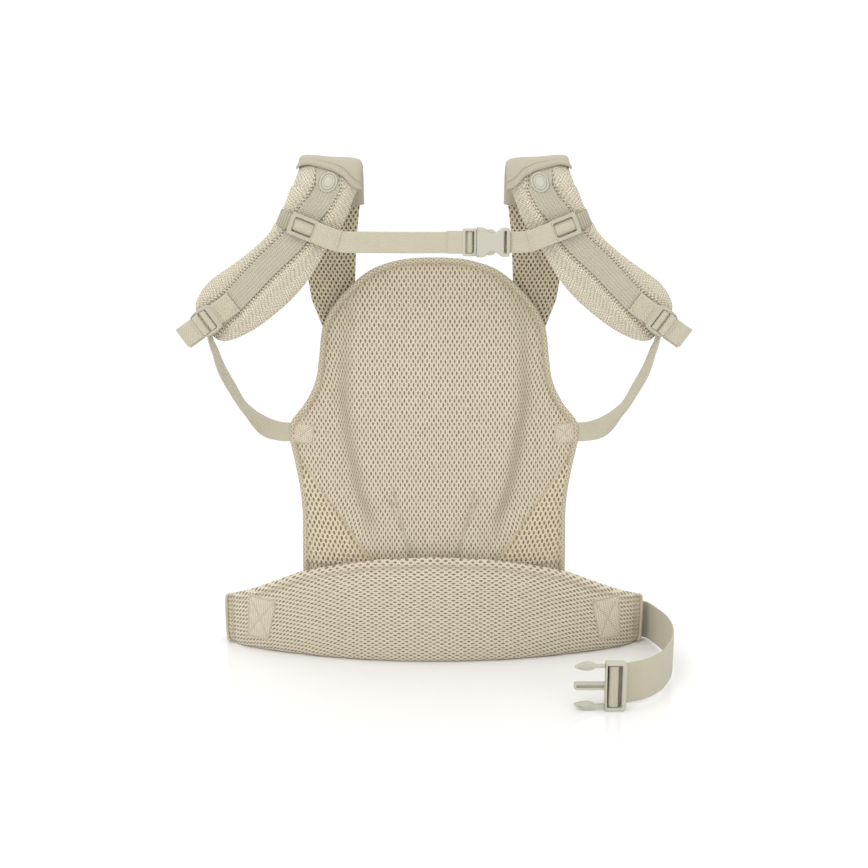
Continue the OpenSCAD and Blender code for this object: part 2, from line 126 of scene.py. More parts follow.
def add_light(name, place, aim, size, power):
    data = bpy.data.lights.new(name, "AREA")
    data.shape = "RECTANGLE"
    data.size, data.size_y = size
    data.energy = power
    lamp = bpy.data.objects.new(name, data)
    lamp.location = place
    lamp.rotation_euler = (Vector(aim) - Vector(place)).to_track_quat("-Z", "Y").to_euler()
    lamp.visible_glossy = False
    bpy.context.scene.collection.objects.link(lamp)


def add_studio():
    scene = bpy.context.scene
    scene.view_settings.view_transform = "Standard"
    world = bpy.data.worlds.new("studio")
    world.use_nodes = True
    back = world.node_tree.nodes["Background"]
    back.inputs["Color"].default_value = (1, 1, 1, 1)
    back.inputs["Strength"].default_value = 1.05
    scene.world = world
    for light in LIGHTS:
        add_light(*light)
    bm = bmesh.new()
    bmesh.ops.create_grid(bm, x_segments=1, y_segments=1, size=FLOOR_REACH)
    mesh = bpy.data.meshes.new("floor")
    bm.to_mesh(mesh)
    floor = bpy.data.objects.new("floor", mesh)
    scene.collection.objects.link(floor)
    paint = Paint("floor_white", (253, 253, 253), 0.07)
    paint.bsdf.inputs["Specular IOR Level"].default_value = 0.6
    # painted shade on the floor: darker near the middle, where the lamps throw a pool of light, and full
    # white far off
    reach = paint.node("ShaderNodeVectorMath", operation="LENGTH")
    paint.put(reach.inputs[0], paint.place())
    far = paint.ramp(reach.outputs["Value"], 0.5, 2.4)
    paint.put(paint.bsdf.inputs["Base Color"], paint.mix(far, (0.9, 0.9, 0.9, 1), (0.985, 0.985, 0.985, 1)))
    mesh.materials.append(paint.material)


# ---------- materials ----------

def linear(colour):
    """An sRGB colour with channels of 0 to 255, as linear RGBA."""
    scaled = [c / 255 for c in colour]
    return [c / 12.92 if c <= 0.04045 else ((c + 0.055) / 1.055) ** 2.4 for c in scaled] + [1.0]


class Paint:
    """A Principled material and short calls for its nodes."""

    def __init__(self, name, colour, roughness, sheen=0.0):
        self.material = bpy.data.materials.new(name)
        self.material.use_nodes = True
        self.tree = self.material.node_tree
        self.bsdf = self.tree.nodes["Principled BSDF"]
        self.bsdf.inputs["Base Color"].default_value = linear(colour)
        self.bsdf.inputs["Roughness"].default_value = roughness
        self.bsdf.inputs["Sheen Weight"].default_value = sheen
        self.bsdf.inputs["Sheen Roughness"].default_value = 0.5

    def node(self, kind, **settings):
        made = self.tree.nodes.new(kind)
        for key, value in settings.items():
            setattr(made, key, value)
        return made

    def put(self, socket, value):
        if isinstance(value, bpy.types.NodeSocket):
            self.tree.links.new(value, socket)
        else:
            socket.default_value = value

    def math(self, operation, *values):
        made = self.node("ShaderNodeMath", operation=operation)
        for socket, value in zip(made.inputs, values):
            self.put(socket, value)
        return made.outputs[0]

    def ramp(self, value, low, high, to_low=0.0, to_high=1.0):
        made = self.node("ShaderNodeMapRange", interpolation_type="SMOOTHSTEP")
        for key, number in (("Value", value), ("From Min", low), ("From Max", high), ("To Min", to_low),
                            ("To Max", to_high)):
            self.put(made.inputs[key], number)
        return made.outputs[0]

    def mix(self, share, first, second):
        made = self.node("ShaderNodeMix", data_type="RGBA")
        self.put(made.inputs[0], share)
        self.put(made.inputs[6], first)
        self.put(made.inputs[7], second)
        return made.outputs[2]

    def cloth(self):
        """A piece's fabric coordinates in millimetres, and how deep in a fold it lies, from 0 to 1, which
        the materials paint as shade.
        """
        attribute = self.node("ShaderNodeAttribute", attribute_name="cloth")
        split = self.node("ShaderNodeSeparateXYZ")
        self.put(split.inputs[0], attribute.outputs["Vector"])
        return attribute.outputs["Vector"], split.outputs[0], split.outputs[1], split.outputs[2]

    def place(self):
        return self.node("ShaderNodeTexCoord").outputs["Object"]

    def noise(self, vector, scale, detail=3.0, roughness=0.55):
        made = self.node("ShaderNodeTexNoise")
        self.put(made.inputs["Vector"], vector)
        made.inputs["Scale"].default_value = scale
        made.inputs["Detail"].default_value = detail
        made.inputs["Roughness"].default_value = roughness
        return made.outputs["Fac"]

    def bump(self, height, distance, strength=1.0, normal=None):
        made = self.node("ShaderNodeBump")
        made.inputs["Strength"].default_value = strength
        made.inputs["Distance"].default_value = distance
        self.put(made.inputs["Height"], height)
        if normal is not None:
            self.put(made.inputs["Normal"], normal)
        return made.outputs["Normal"]

    def wave(self, coordinate, pitch):
        """A smooth ridge of height 0 to 1 for every pitch of the coordinate."""
        angle = self.math("MULTIPLY", coordinate, 2 * math.pi / pitch)
        return self.math("MULTIPLY_ADD", self.math("SINE", angle), 0.5, 0.5)


def oval(paint, u, v, pitch, radius, shift):
    """Distance from the nearest oval of a rectangular lattice, where 1 is the oval's edge."""
    terms = []
    for coordinate, step, half in ((u, pitch[0], radius[0]), (v, pitch[1], radius[1])):
        cell = paint.math("FRACT", paint.math("MULTIPLY_ADD", coordinate, 1 / step, 100.5 + shift))
        away = paint.math("MULTIPLY", paint.math("SUBTRACT", cell, 0.5), step / half)
        terms.append(paint.math("MULTIPLY", away, away))
    return paint.math("SQRT", paint.math("ADD", *terms))


def air_mesh(name, light, shade, hole, pitch=(5.7, 10.0), radius=(1.2, 2.65), depth=0.0009, wobble=0.7):
    """Spacer mesh: staggered oval holes through a soft knitted face."""
    paint = Paint(name, light, 0.85, sheen=0.25)
    vector, u, v, crease_shade = paint.cloth()
    drift = paint.noise(vector, 0.09, 1.0)
    drift_2 = paint.noise(vector, 0.06, 1.0)
    u = paint.math("ADD", u, paint.math("MULTIPLY", paint.math("SUBTRACT", drift, 0.5), 2 * wobble))
    v = paint.math("ADD", v, paint.math("MULTIPLY", paint.math("SUBTRACT", drift_2, 0.5), 3 * wobble))
    near = paint.math("MINIMUM", oval(paint, u, v, pitch, radius, 0), oval(paint, u, v, pitch, radius, 0.5))
    uneven = paint.noise(vector, 0.55, 2.0)
    near = paint.math("ADD", near, paint.math("MULTIPLY", paint.math("SUBTRACT", uneven, 0.5), 0.9))
    open_share = paint.ramp(near, 0.72, 1.12, 1.0, 0.0)
    body = paint.ramp(near, 0.9, 2.0)
    knit = paint.wave(paint.math("ADD", v, paint.math("MULTIPLY", paint.wave(u, 1.9), 0.8)), 1.3)
    fibre = paint.noise(vector, 2.2, 3.0)
    tone = paint.mix(body, linear(light), linear(shade))
    tone = paint.mix(paint.math("MULTIPLY", knit, 0.22), tone, linear([c * 0.86 for c in shade]))
    tone = paint.mix(paint.math("MULTIPLY", fibre, 0.25), tone, linear([min(255, c * 1.07) for c in light]))
    strength = paint.ramp(paint.noise(vector, 0.12, 2.0), 0.3, 0.6, 0.72, 1.0)
    tone = paint.mix(paint.math("MULTIPLY", open_share, strength), tone, linear(hole))
    # painted shade: the knit is darkened and browned by crease_shade in folds, seams and grooves
    tone = paint.mix(paint.math("MULTIPLY", crease_shade, 0.6), tone,
                     linear([c * k for c, k in zip(shade, (0.8, 0.77, 0.7))]))
    paint.put(paint.bsdf.inputs["Base Color"], tone)
    height = paint.math("MULTIPLY_ADD", open_share, -1.0, paint.math("MULTIPLY", body, -0.25))
    normal = paint.bump(height, depth)
    normal = paint.bump(paint.math("ADD", knit, fibre), 0.00015, 0.6, normal)
    paint.put(paint.bsdf.inputs["Normal"], normal)
    return paint.material


def fine_mesh(name, light, shade, hole):
    """Fine ribbed mesh: slanting ribs that meet in a chevron in the middle of each half of the pad."""
    paint = Paint(name, light, 0.82, sheen=0.3)
    vector, u, v, crease_shade = paint.cloth()
    aside = paint.math("ABSOLUTE", u)
    column = paint.math("PINGPONG", paint.math("ADD", aside, 6.5), 10.0)
    wander = paint.math("MULTIPLY", paint.math("SUBTRACT", paint.noise(vector, 0.12, 1.0), 0.5), 3.0)
    slant = paint.math("ADD", paint.math("MULTIPLY_ADD", column, -0.85, v), wander)
    rib = paint.wave(slant, 3.3)
    beads = paint.wave(u, 1.6)
    pits = paint.math("MINIMUM", oval(paint, u, slant, (2.7, 5.4), (0.5, 0.8), 0),
                      oval(paint, u, slant, (2.7, 5.4), (0.5, 0.8), 0.5))
    uneven = paint.noise(vector, 0.6, 2.0)
    pits = paint.math("ADD", pits, paint.math("MULTIPLY", paint.math("SUBTRACT", uneven, 0.5), 1.7))
    pin = paint.ramp(pits, 0.5, 1.2, 1.0, 0.0)
    # rows of larger holes where the cover is drawn down beside the webbing
    gap = paint.math("MINIMUM",
                     oval(paint, paint.math("SUBTRACT", aside, 14.6), v, (400.0, 4.4), (0.85, 1.3), 0),
                     oval(paint, paint.math("SUBTRACT", aside, 17.0), v, (400.0, 4.4), (0.6, 1.0), 0))
    gap = paint.ramp(gap, 0.7, 1.3, 1.0, 0.0)
    fibre = paint.noise(vector, 2.5, 3.0)
    tone = paint.mix(paint.math("MULTIPLY", rib, paint.math("MULTIPLY_ADD", beads, 0.35, 0.6)),
                     linear(shade), linear(light))
    tone = paint.mix(paint.math("MULTIPLY", fibre, 0.25), tone, linear([min(255, c * 1.03) for c in light]))
    tone = paint.mix(paint.math("MULTIPLY", pin, 0.55), tone, linear(hole))
    tone = paint.mix(paint.math("MULTIPLY", gap, 0.8), tone, linear([c * 0.72 for c in hole]))
    # painted shade: darker by crease_shade in folds, seams and grooves
    tone = paint.mix(paint.math("MULTIPLY", crease_shade, 0.55), tone, linear([c * 0.85 for c in shade]))
    paint.put(paint.bsdf.inputs["Base Color"], tone)
    height = paint.math("SUBTRACT", rib, paint.math("ADD", pin, gap))
    normal = paint.bump(height, 0.0007, 0.9)
    paint.put(paint.bsdf.inputs["Normal"], paint.bump(fibre, 0.0001, 0.5, normal))
    return paint.material


def woven(name, light, shade, pitch_u, pitch_v, depth, sheen=0.2, roughness=0.7, mottle=0.25):
    """Plain or ribbed weave: ridges across (pitch_v) broken by yarns along (pitch_u)."""
    paint = Paint(name, light, roughness, sheen)
    vector, u, v, crease_shade = paint.cloth()
    shift = paint.math("MULTIPLY", paint.math("ROUND", paint.math("MULTIPLY", u, 1 / pitch_u)), pitch_v / 2)
    rib = paint.wave(paint.math("ADD", v, shift), pitch_v)
    yarn = paint.wave(u, pitch_u)
    weave = paint.math("MULTIPLY_ADD", yarn, 0.5, rib)
    cloud = paint.noise(vector, 0.05, 2.0)
    fibre = paint.noise(vector, 3.0, 2.0)
    tone = paint.mix(paint.math("MULTIPLY", weave, 0.6), linear(shade), linear(light))
    tone = paint.mix(paint.math("MULTIPLY", cloud, mottle), tone, linear([c * 0.9 for c in shade]))
    # painted shade: darker by crease_shade in folds, seams and grooves
    tone = paint.mix(paint.math("MULTIPLY", crease_shade, 0.6), tone, linear([c * 0.72 for c in shade]))
    paint.put(paint.bsdf.inputs["Base Color"], tone)
    paint.put(paint.bsdf.inputs["Roughness"],
              paint.ramp(fibre, 0.2, 0.8, roughness - 0.08, roughness + 0.1))
    normal = paint.bump(weave, depth)
    paint.put(paint.bsdf.inputs["Normal"], paint.bump(fibre, 0.00005, 0.5, normal))
    return paint.material


def moulded(name, colour, roughness, grain, groove_shaded=False):
    """Satin moulded plastic or rubber with a fine grain; with groove_shaded, painted shade darkens its
    grooves.
    """
    paint = Paint(name, colour, roughness)
    place = paint.place()
    fine = paint.noise(place, 2600.0, 2.0)
    cloud = paint.noise(place, 30.0, 2.0)
    tone = paint.mix(paint.math("MULTIPLY", cloud, 0.35), linear(colour),
                     linear([c * 0.95 for c in colour]))
    if groove_shaded:
        # painted shade in the grooves, from the crease_shade part of the cloth attribute
        tone = paint.mix(paint.math("MULTIPLY", paint.cloth()[3], 0.6), tone,
                         linear([c * 0.78 for c in colour]))
    paint.put(paint.bsdf.inputs["Base Color"], tone)
    paint.put(paint.bsdf.inputs["Roughness"],
              paint.ramp(fine, 0.3, 0.7, roughness - 0.05, roughness + 0.07))
    paint.put(paint.bsdf.inputs["Normal"], paint.bump(fine, grain))
    return paint.material


def make_materials():
    thread = Paint("thread", (204, 193, 168), 0.75, sheen=0.3)
    twist = thread.noise(thread.place(), 3000.0, 1.0)
    thread.put(thread.bsdf.inputs["Base Color"],
               thread.mix(twist, linear((188, 176, 148)), linear((212, 202, 180))))
    thread.put(thread.bsdf.inputs["Normal"], thread.bump(twist, 0.0001))
    return {
        "mesh": air_mesh("mesh", (217, 206, 183), (204, 192, 168), (130, 114, 86)),
        "mesh_edge": air_mesh("mesh_edge", (211, 200, 177), (197, 185, 161), (142, 128, 101), (4.3, 6.4),
                              (0.85, 1.45), 0.0006),
        "mesh_belt": air_mesh("mesh_belt", (217, 207, 184), (204, 193, 169), (132, 119, 92)),
        "mesh_open": air_mesh("mesh_open", (221, 208, 181), (208, 194, 165), (124, 107, 78), (6.2, 12.0),
                              (1.55, 3.0), 0.0012),
        "mesh_dark": air_mesh("mesh_dark", (208, 196, 169), (189, 177, 150), (88, 74, 48), (5.6, 9.6),
                              (1.35, 2.2), 0.0013),
        "mesh_fine": fine_mesh("mesh_fine", (225, 217, 198), (186, 176, 150), (140, 126, 98)),
        "cap_fabric": woven("cap_fabric", (186, 179, 159), (170, 162, 141), 0.9, 0.9, 0.00012, mottle=0.2),
        "binding": woven("binding", (202, 192, 170), (184, 173, 149), 1.1, 1.0, 0.00015),
        "webbing": woven("webbing", (210, 204, 184), (180, 173, 149), 1.9, 2.6, 0.00032),
        "webbing_side": woven("webbing_side", (208, 202, 182), (178, 171, 147), 2.6, 1.9, 0.00032),
        "mesh_flat": air_mesh("mesh_flat", (222, 212, 190), (210, 200, 176), (172, 158, 130), (3.3, 5.2),
                              (0.75, 1.35), 0.0004),
        "webbing_strap": woven("webbing_strap", (203, 197, 178), (166, 160, 138), 3.7, 2.4, 0.0004),
        "elastic": woven("elastic", (200, 194, 173), (142, 135, 111), 80.0, 3.3, 0.0008),
        "plastic": moulded("plastic", (188, 184, 168), 0.42, 0.00002),
        "plastic_warm": moulded("plastic_warm", (180, 175, 156), 0.42, 0.00002),
        "rubber_patch": moulded("rubber_patch", (190, 187, 171), 0.45, 0.00004, groove_shaded=True),
        "thread": thread.material,
    }


# ---------- geometry ----------

def smooth_path(points, step, closed=False):
    """Points about step apart on a smooth curve through the given ones."""
    p = np.array(points, float)
    if closed:
        p = np.vstack([p[-1], p, p[0], p[1]])
    else:
        p = np.vstack([2 * p[0] - p[1], p, 2 * p[-1] - p[-2]])
    dense = []
    for i in range(1, len(p) - 2):
        a, b, c, d = p[i - 1], p[i], p[i + 1], p[i + 2]
        for t in np.linspace(0, 1, 24, endpoint=False):
            square, cube = 2 * a - 5 * b + 4 * c - d, 3 * b - a - 3 * c + d
            dense.append(0.5 * (2 * b + (c - a) * t + square * t ** 2 + cube * t ** 3))
    dense.append(p[-2])
    dense = np.array(dense)
    lengths = np.concatenate([[0], np.cumsum(np.linalg.norm(np.diff(dense, axis=0), axis=1))])
    count = max(2, int(round(lengths[-1] / step)) + 1)
    return spaced(dense, lengths, np.linspace(0, lengths[-1], count))


def spaced(dense, lengths, where):
    return np.stack([np.interp(where, lengths, dense[:, k]) for k in range(dense.shape[1])], axis=1)


def run_lengths(points):
    return np.concatenate([[0], np.cumsum(np.linalg.norm(np.diff(points, axis=0), axis=1))])


def resample(points, count):
    """The given polyline as count evenly spaced points."""
    lengths = run_lengths(points)
    return spaced(np.array(points, float), lengths, np.linspace(0, lengths[-1], count))


def tangents(points):
    t = np.gradient(np.array(points, float), axis=0)
    return t / np.linalg.norm(t, axis=1)[:, None]


def step_up(x, low, high):
    t = np.clip((np.asarray(x, float) - low) / (high - low), 0, 1)
    return t * t * (3 - 2 * t)


def bell(x, centre, width):
    return np.exp(-(((np.asarray(x, float) - centre) / width) ** 2))


def drum(x, radius):
    return DRUM_Y - np.sqrt(radius ** 2 - np.asarray(x, float) ** 2)


def soft_waves(x, z, seed):
    """Gentle unevenness of handled fabric, from -1 to 1."""
    total = 0
    for k in range(4):
        a = 0.7 + 2.399 * (seed + k)
        wavelength = 34 + 17 * ((seed * 7 + k * 5) % 4)
        along = x * math.cos(a) + z * math.sin(a)
        total = total + np.sin(along * 2 * math.pi / wavelength + 1.7 * k + seed)
    return total / 4


class Build:
    """Collects vertices, faces and fabric coordinates of one piece, in millimetres."""

    def __init__(self):
        self.points, self.cloth, self.faces, self.slots = [], [], [], []

    def add_points(self, points, cloth):
        base = len(self.points)
        self.points.extend(map(tuple, points))
        self.cloth.extend(tuple(c)[:3] if len(c) > 2 else (c[0], c[1], 0.0) for c in cloth)
        return base

    def add_face(self, face, slot=0):
        self.faces.append(tuple(face))
        self.slots.append(slot)

    def grid(self, points, cloth, flip=False, wrap=False, slot=0):
        """A sheet of quads over an n by m array of points; wrap joins its last column to its first."""
        n, m = points.shape[:2]
        base = self.add_points(points.reshape(-1, 3), cloth.reshape(n * m, -1))
        for i in range(n - 1):
            for j in range(m if wrap else m - 1):
                k = (j + 1) % m
                face = (base + i * m + j, base + i * m + k, base + (i + 1) * m + k, base + (i + 1) * m + j)
                self.add_face(face[::-1] if flip else face, slot)
        return base

    def tube(self, rings, cloth, slot=0):
        """A closed tube through rings of points, with an end cap on each end."""
        n, m = rings.shape[:2]
        base = self.grid(rings, cloth, wrap=True, slot=slot)
        self.add_face([base + j for j in range(m)][::-1], slot)
        self.add_face([base + (n - 1) * m + j for j in range(m)], slot)

    def finish(self, name, materials, side=1, weld=0.0):
        """Makes the object, in metres, with its normals outwards and hard edges where it bends sharply."""
        mesh = bpy.data.meshes.new(name)
        points = np.array(self.points) * [side * MM, MM, MM]
        mesh.from_pydata([tuple(p) for p in points], [], self.faces)
        attribute = mesh.attributes.new("cloth", "FLOAT_VECTOR", "POINT")
        attribute.data.foreach_set("vector", np.array(self.cloth, np.float32).ravel())
        mesh.polygons.foreach_set("material_index", self.slots)
        for material in materials:
            mesh.materials.append(material)
        bm = bmesh.new()
        bm.from_mesh(mesh)
        if weld:
            bmesh.ops.remove_doubles(bm, verts=bm.verts, dist=weld * MM)
            bmesh.ops.dissolve_degenerate(bm, edges=bm.edges, dist=1e-6)
        bmesh.ops.recalc_face_normals(bm, faces=bm.faces)
        for face in bm.faces:
            face.smooth = True
        for edge in bm.edges:
            if len(edge.link_faces) == 2 and edge.calc_face_angle(0) > math.radians(HARD_EDGE):
                edge.smooth = False
        bm.to_mesh(mesh)
        bm.free()
        piece = bpy.data.objects.new(name, mesh)
        bpy.context.scene.collection.objects.link(piece)
        return piece


def slab(front, back, cloth, build=None, slot=0):
    """Closed slab between two equal arrays of points."""
    build = build or Build()
    n, m = front.shape[:2]
    a = build.grid(front, cloth, slot=slot)
    b = build.grid(back, cloth, flip=True, slot=slot)
    rim = [i * m for i in range(n)] + [(n - 1) * m + j for j in range(1, m)]
    rim += [i * m + m - 1 for i in range(n - 2, -1, -1)] + [j for j in range(m - 2, 0, -1)]
    for i, k in enumerate(rim):
        q = rim[(i + 1) % len(rim)]
        build.add_face((a + k, a + q, b + q, b + k), slot)
    return build


def ribbon_profile(width, thick, across=8):
    """Closed outline of webbing with slightly fuller edges, as (across, up)."""
    half, t = width / 2, thick / 2
    top = [(x, t) for x in np.linspace(-half + t, half - t, across)]
    side = [(half - 0.25 * t, 0.75 * t), (half, 0), (half - 0.25 * t, -0.75 * t)]
    bottom = [(x, -t) for x in np.linspace(half - t, -half + t, across)]
    other = [(-x, -y) for x, y in side]
    return np.array(top + side + bottom + other)


def round_profile(radius, sides=10, flat=1.0):
    a = np.linspace(0, 2 * math.pi, sides, endpoint=False)
    return np.stack([radius * np.cos(a), radius * flat * np.sin(a)], axis=1)


def sweep(path, across, profile, build=None, slot=0, scale=None):
    """Profile carried along a path; across is the sideways direction at each point."""
    build = build or Build()
    path = np.array(path, float)
    along = tangents(path)
    across = np.array(across, float) * np.ones_like(path)
    across = across - (across * along).sum(1)[:, None] * along
    across = across / np.linalg.norm(across, axis=1)[:, None]
    up = np.cross(across, along)
    scale = np.ones(len(path)) if scale is None else np.array(scale)
    rings = path[:, None] + scale[:, None,
                                  None] * (profile[None, :, :1] * across[:, None] + profile[None, :,
                                                                                            1:] * up[:,
                                                                                                     None])
    cloth = np.zeros(rings.shape)
    cloth[..., 0] = profile[None, :, 0]
    cloth[..., 1] = run_lengths(path)[:, None]
    build.tube(rings, cloth, slot=slot)
    return build


def ride_as(build, name, materials, slot, body, **options):
    """Finishes the piece that stands for the CAD node of the same name and rides with a body."""
    piece = build.finish(name, materials, **options)
    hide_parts(name)
    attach(piece, body)


def surface_of(piece):
    """A call that drops (x, z) onto the piece's front and gives the place and its normal, in mm."""
    tree = BVHTree.FromObject(piece, bpy.context.evaluated_depsgraph_get())

    def drop(x, z):
        hit, normal = tree.ray_cast(Vector((x * MM, -0.4, z * MM)), Vector((0, 1, 0)))[:2]
        if hit is None:
            return None
        normal = normal if normal.y < 0 else -normal
        return np.array(hit) / MM, np.array(normal)

    return drop


def stitch(build, points, normals=None, length=2.7, gap=1.4, radius=0.42, slot=0):
    """Thread dashes along points on a surface, which faces the front if no normals are given."""
    points = np.array(points, float)
    normals = np.array([[0, -1, 0]] * len(points) if normals is None else normals, float)
    lengths = run_lengths(points)
    start = gap / 2
    while start + length < lengths[-1]:
        where = np.linspace(start, start + length, 4)
        line = spaced(points, lengths, where)
        normal = spaced(normals, lengths, where)
        normal = normal / np.linalg.norm(normal, axis=1)[:, None]
        line = line + normal * np.array([-0.25, 0.2, 0.2, -0.25])[:, None]
        if np.linalg.norm(line[-1] - line[0]) > 0.3 * length:
            side = np.cross(normal, tangents(line))
            sweep(line, side, round_profile(radius, 6), build, slot, scale=[0.6, 1, 1, 0.6])
        start += length + gap


def stitch_on(build, drop, path):
    """A stitched row along an (x, z) path, dropped onto a surface."""
    run_points, run_normals = [], []
    for x, z in smooth_path(path, 1.5):
        found = drop(x, z)
        if found is None:
            continue
        run_points.append(found[0] + 0.1 * found[1])
        run_normals.append(found[1])
    if len(run_points) > 3:
        stitch(build, run_points, run_normals)


def box_x(corners):
    """The rows of a box-X: its four sides and two diagonals."""
    a, b, c, d = corners
    return [[a, b], [b, c], [c, d], [d, a], [a, c], [b, d]]


def quilt(build, corners, surface, count=33):
    """A patch of flattened fabric sewn down with a box-X: it swells between its seams."""
    corners = np.array(corners, float)
    s, t = np.meshgrid(np.linspace(-1, 1, count), np.linspace(-1, 1, count), indexing="ij")
    weights = np.stack([(1 - s) * (1 + t), (1 + s) * (1 + t), (1 + s) * (1 - t), (1 - s) * (1 - t)],
                       axis=2) / 4
    flat = weights @ corners
    x, z = flat[..., 0], flat[..., 1]
    y = np.array([surface(a, b) for a, b in zip(x.ravel(), z.ravel())]).reshape(x.shape)
    valley = np.minimum(0.94 - np.maximum(np.abs(s), np.abs(t)), np.minimum(np.abs(s - t), np.abs(s + t)))
    swell = np.clip(np.abs(valley) / 0.3, 0, 1) ** 0.6
    # painted shade in the sewn valleys of the box-X
    crease_shade = np.clip(1.1 - np.abs(valley) / 0.06, 0, 1)
    front = np.stack([x, y - QUILT_LIFT - swell, z], axis=2)
    back = np.stack([x, y + 0.8, z], axis=2)
    slab(front, back, np.stack([x + 0.5 * z, z - 0.5 * x, crease_shade], axis=2), build)
    seams = weights[[2, -3, -3, 2], [-3, -3, 2, 2]] @ corners
    for a, b in box_x(seams):
        line = resample(np.array([a, b]), 24)
        deep = [surface(*p) for p in line]
        path = np.stack([line[:, 0], np.array(deep) - QUILT_LIFT - 0.15, line[:, 1]], axis=1)
        stitch(build, path, slot=1, length=2.4, gap=1.2, radius=0.34)


def puff(piece, pinned, cap, pressure=4.0):
    """Swells a padded piece by cloth simulation, held where pinned is 1, and moved at most cap mm."""
    group = piece.vertex_groups.new(name="pin")
    for index, weight in enumerate(pinned):
        group.add([index], float(weight), "REPLACE")
    modifier = piece.modifiers.new("cloth", "CLOTH")
    settings = modifier.settings
    settings.quality = 6
    settings.mass = 0.25
    settings.tension_stiffness = 12
    settings.compression_stiffness = 12
    settings.shear_stiffness = 6
    settings.bending_stiffness = 0.6
    settings.vertex_group_mass = "pin"
    settings.use_pressure = True
    settings.uniform_pressure_force = pressure
    settings.effector_weights.gravity = 0
    modifier.point_cache.frame_start = 1
    modifier.point_cache.frame_end = 20
    before = np.array([v.co for v in piece.data.vertices])
    scene = bpy.context.scene
    for number in range(1, 21):
        scene.frame_set(number)
    evaluated = piece.evaluated_get(bpy.context.evaluated_depsgraph_get())
    after = np.array([v.co for v in evaluated.data.vertices])
    piece.modifiers.remove(modifier)
    piece.vertex_groups.remove(group)
    scene.frame_set(1)
    move = after - before
    size = np.linalg.norm(move, axis=1)[:, None]
    move = move * np.minimum(1, cap * MM / np.maximum(size, 1e-9))
    piece.data.vertices.foreach_set("co", (before + move).astype(np.float32).ravel())
    piece.data.update()


# ---------- panel ----------

def panel_edge():
    """Smooth half outline of the panel, from its foot to the top of the arch."""
    half = smooth_path(PANEL_HALF + [(-20, 521.4)], 3.5)
    half = half[: int(np.argmin(np.abs(half[:, 0]))) + 1]
    half[:, 1] = np.maximum.accumulate(half[:, 1])
    return half


def edge_distance(x, z, edge):
    best = np.full(np.shape(x), 1e9)
    whole = np.vstack([edge, edge * [-1, 1]])
    for ex, ez in whole:
        best = np.minimum(best, (x - ex) ** 2 + (z - ez) ** 2)
    return np.sqrt(best)


def seam_x(z):
    """x of the gusset seam at height z."""
    (foot_x, foot_z), (top_x, top_z) = GUSSET_SEAM
    return foot_x + (np.asarray(z, float) - foot_z) * (top_x - foot_x) / (top_z - foot_z)


def fold_band(x, z):
    """How close to the middle of the panel's long folds a place is, from 0 to 1."""
    here = bell(np.abs(x), np.interp(z, FOLD_RISE, FOLD_ASIDE), 8.5)
    return here * step_up(z, 150, 200) * (1 - 0.6 * step_up(z, 345, 420)) * (1 - step_up(z, 450, 500))


def dart_band(x, z):
    """How close to the sewn line of a dart a place is, from 0 to 1."""
    near = np.zeros(np.shape(x))
    for foot, top in DARTS:
        dart_x = np.interp(z, (foot[1], top[1]), (foot[0], top[0]))
        near = np.maximum(near, bell(np.abs(x), dart_x, 2.2) * (1 - step_up(z, top[1] - 12, top[1])))
    return near


def panel_front(x, z):
    """y of the panel's front, without the pull of its edge."""
    ax = np.abs(x)
    base = drum(x, PANEL_FRONT)
    tall = step_up(z, 150, 225) * (1 - 0.55 * step_up(z, 340, 430)) * (1 - step_up(z, 425, 500))
    fold_x = np.interp(z, FOLD_RISE, FOLD_ASIDE)
    beyond = step_up(ax, fold_x - 12, fold_x + 12)
    folded = (12.5 + 0.2 * (base - 12)) * (1 - beyond) + (29.5 + 0.5 * (base - 24.8)) * beyond
    y = base + tall * (folded - base)
    seam = seam_x(z)
    on_gusset = step_up(z, 110, 130) * (1 - step_up(z, 244, 264))
    y = y + 1.6 * on_gusset * bell(ax, seam, 5) - 1.2 * on_gusset * bell(ax, seam + 16, 11)
    for foot, top in DARTS:
        dart_x = np.interp(z, (foot[1], top[1]), (foot[0], top[0]))
        y = y + 1.1 * bell(ax, dart_x, 4) * (1 - step_up(z, top[1] - 25, top[1] + 5)) * step_up(z, 120, 140)
    ripple = bell(x, 0, 60) * bell(z, 330, 90)
    y = y + 0.8 * soft_waves(x, z, 3) - 2.0 * ripple + 0.9 * step_up(ax, 60, 90) * soft_waves(x * 2.1,
                                                                                              z * 0.7, 6)
    return y


EDGE = panel_edge()


def panel_y(x, z):
    """y of the panel's front and back, pulled in at the edge."""
    distance = edge_distance(x, z, EDGE)
    front = panel_front(x, z) + 1.6 * (1 - step_up(distance, 0, 22))
    back = drum(x, PANEL_BACK) + 0.8 * soft_waves(x, z, 5) - 6.0 * (1 - step_up(distance, 0, 16))
    return front, np.maximum(back, front + 3)


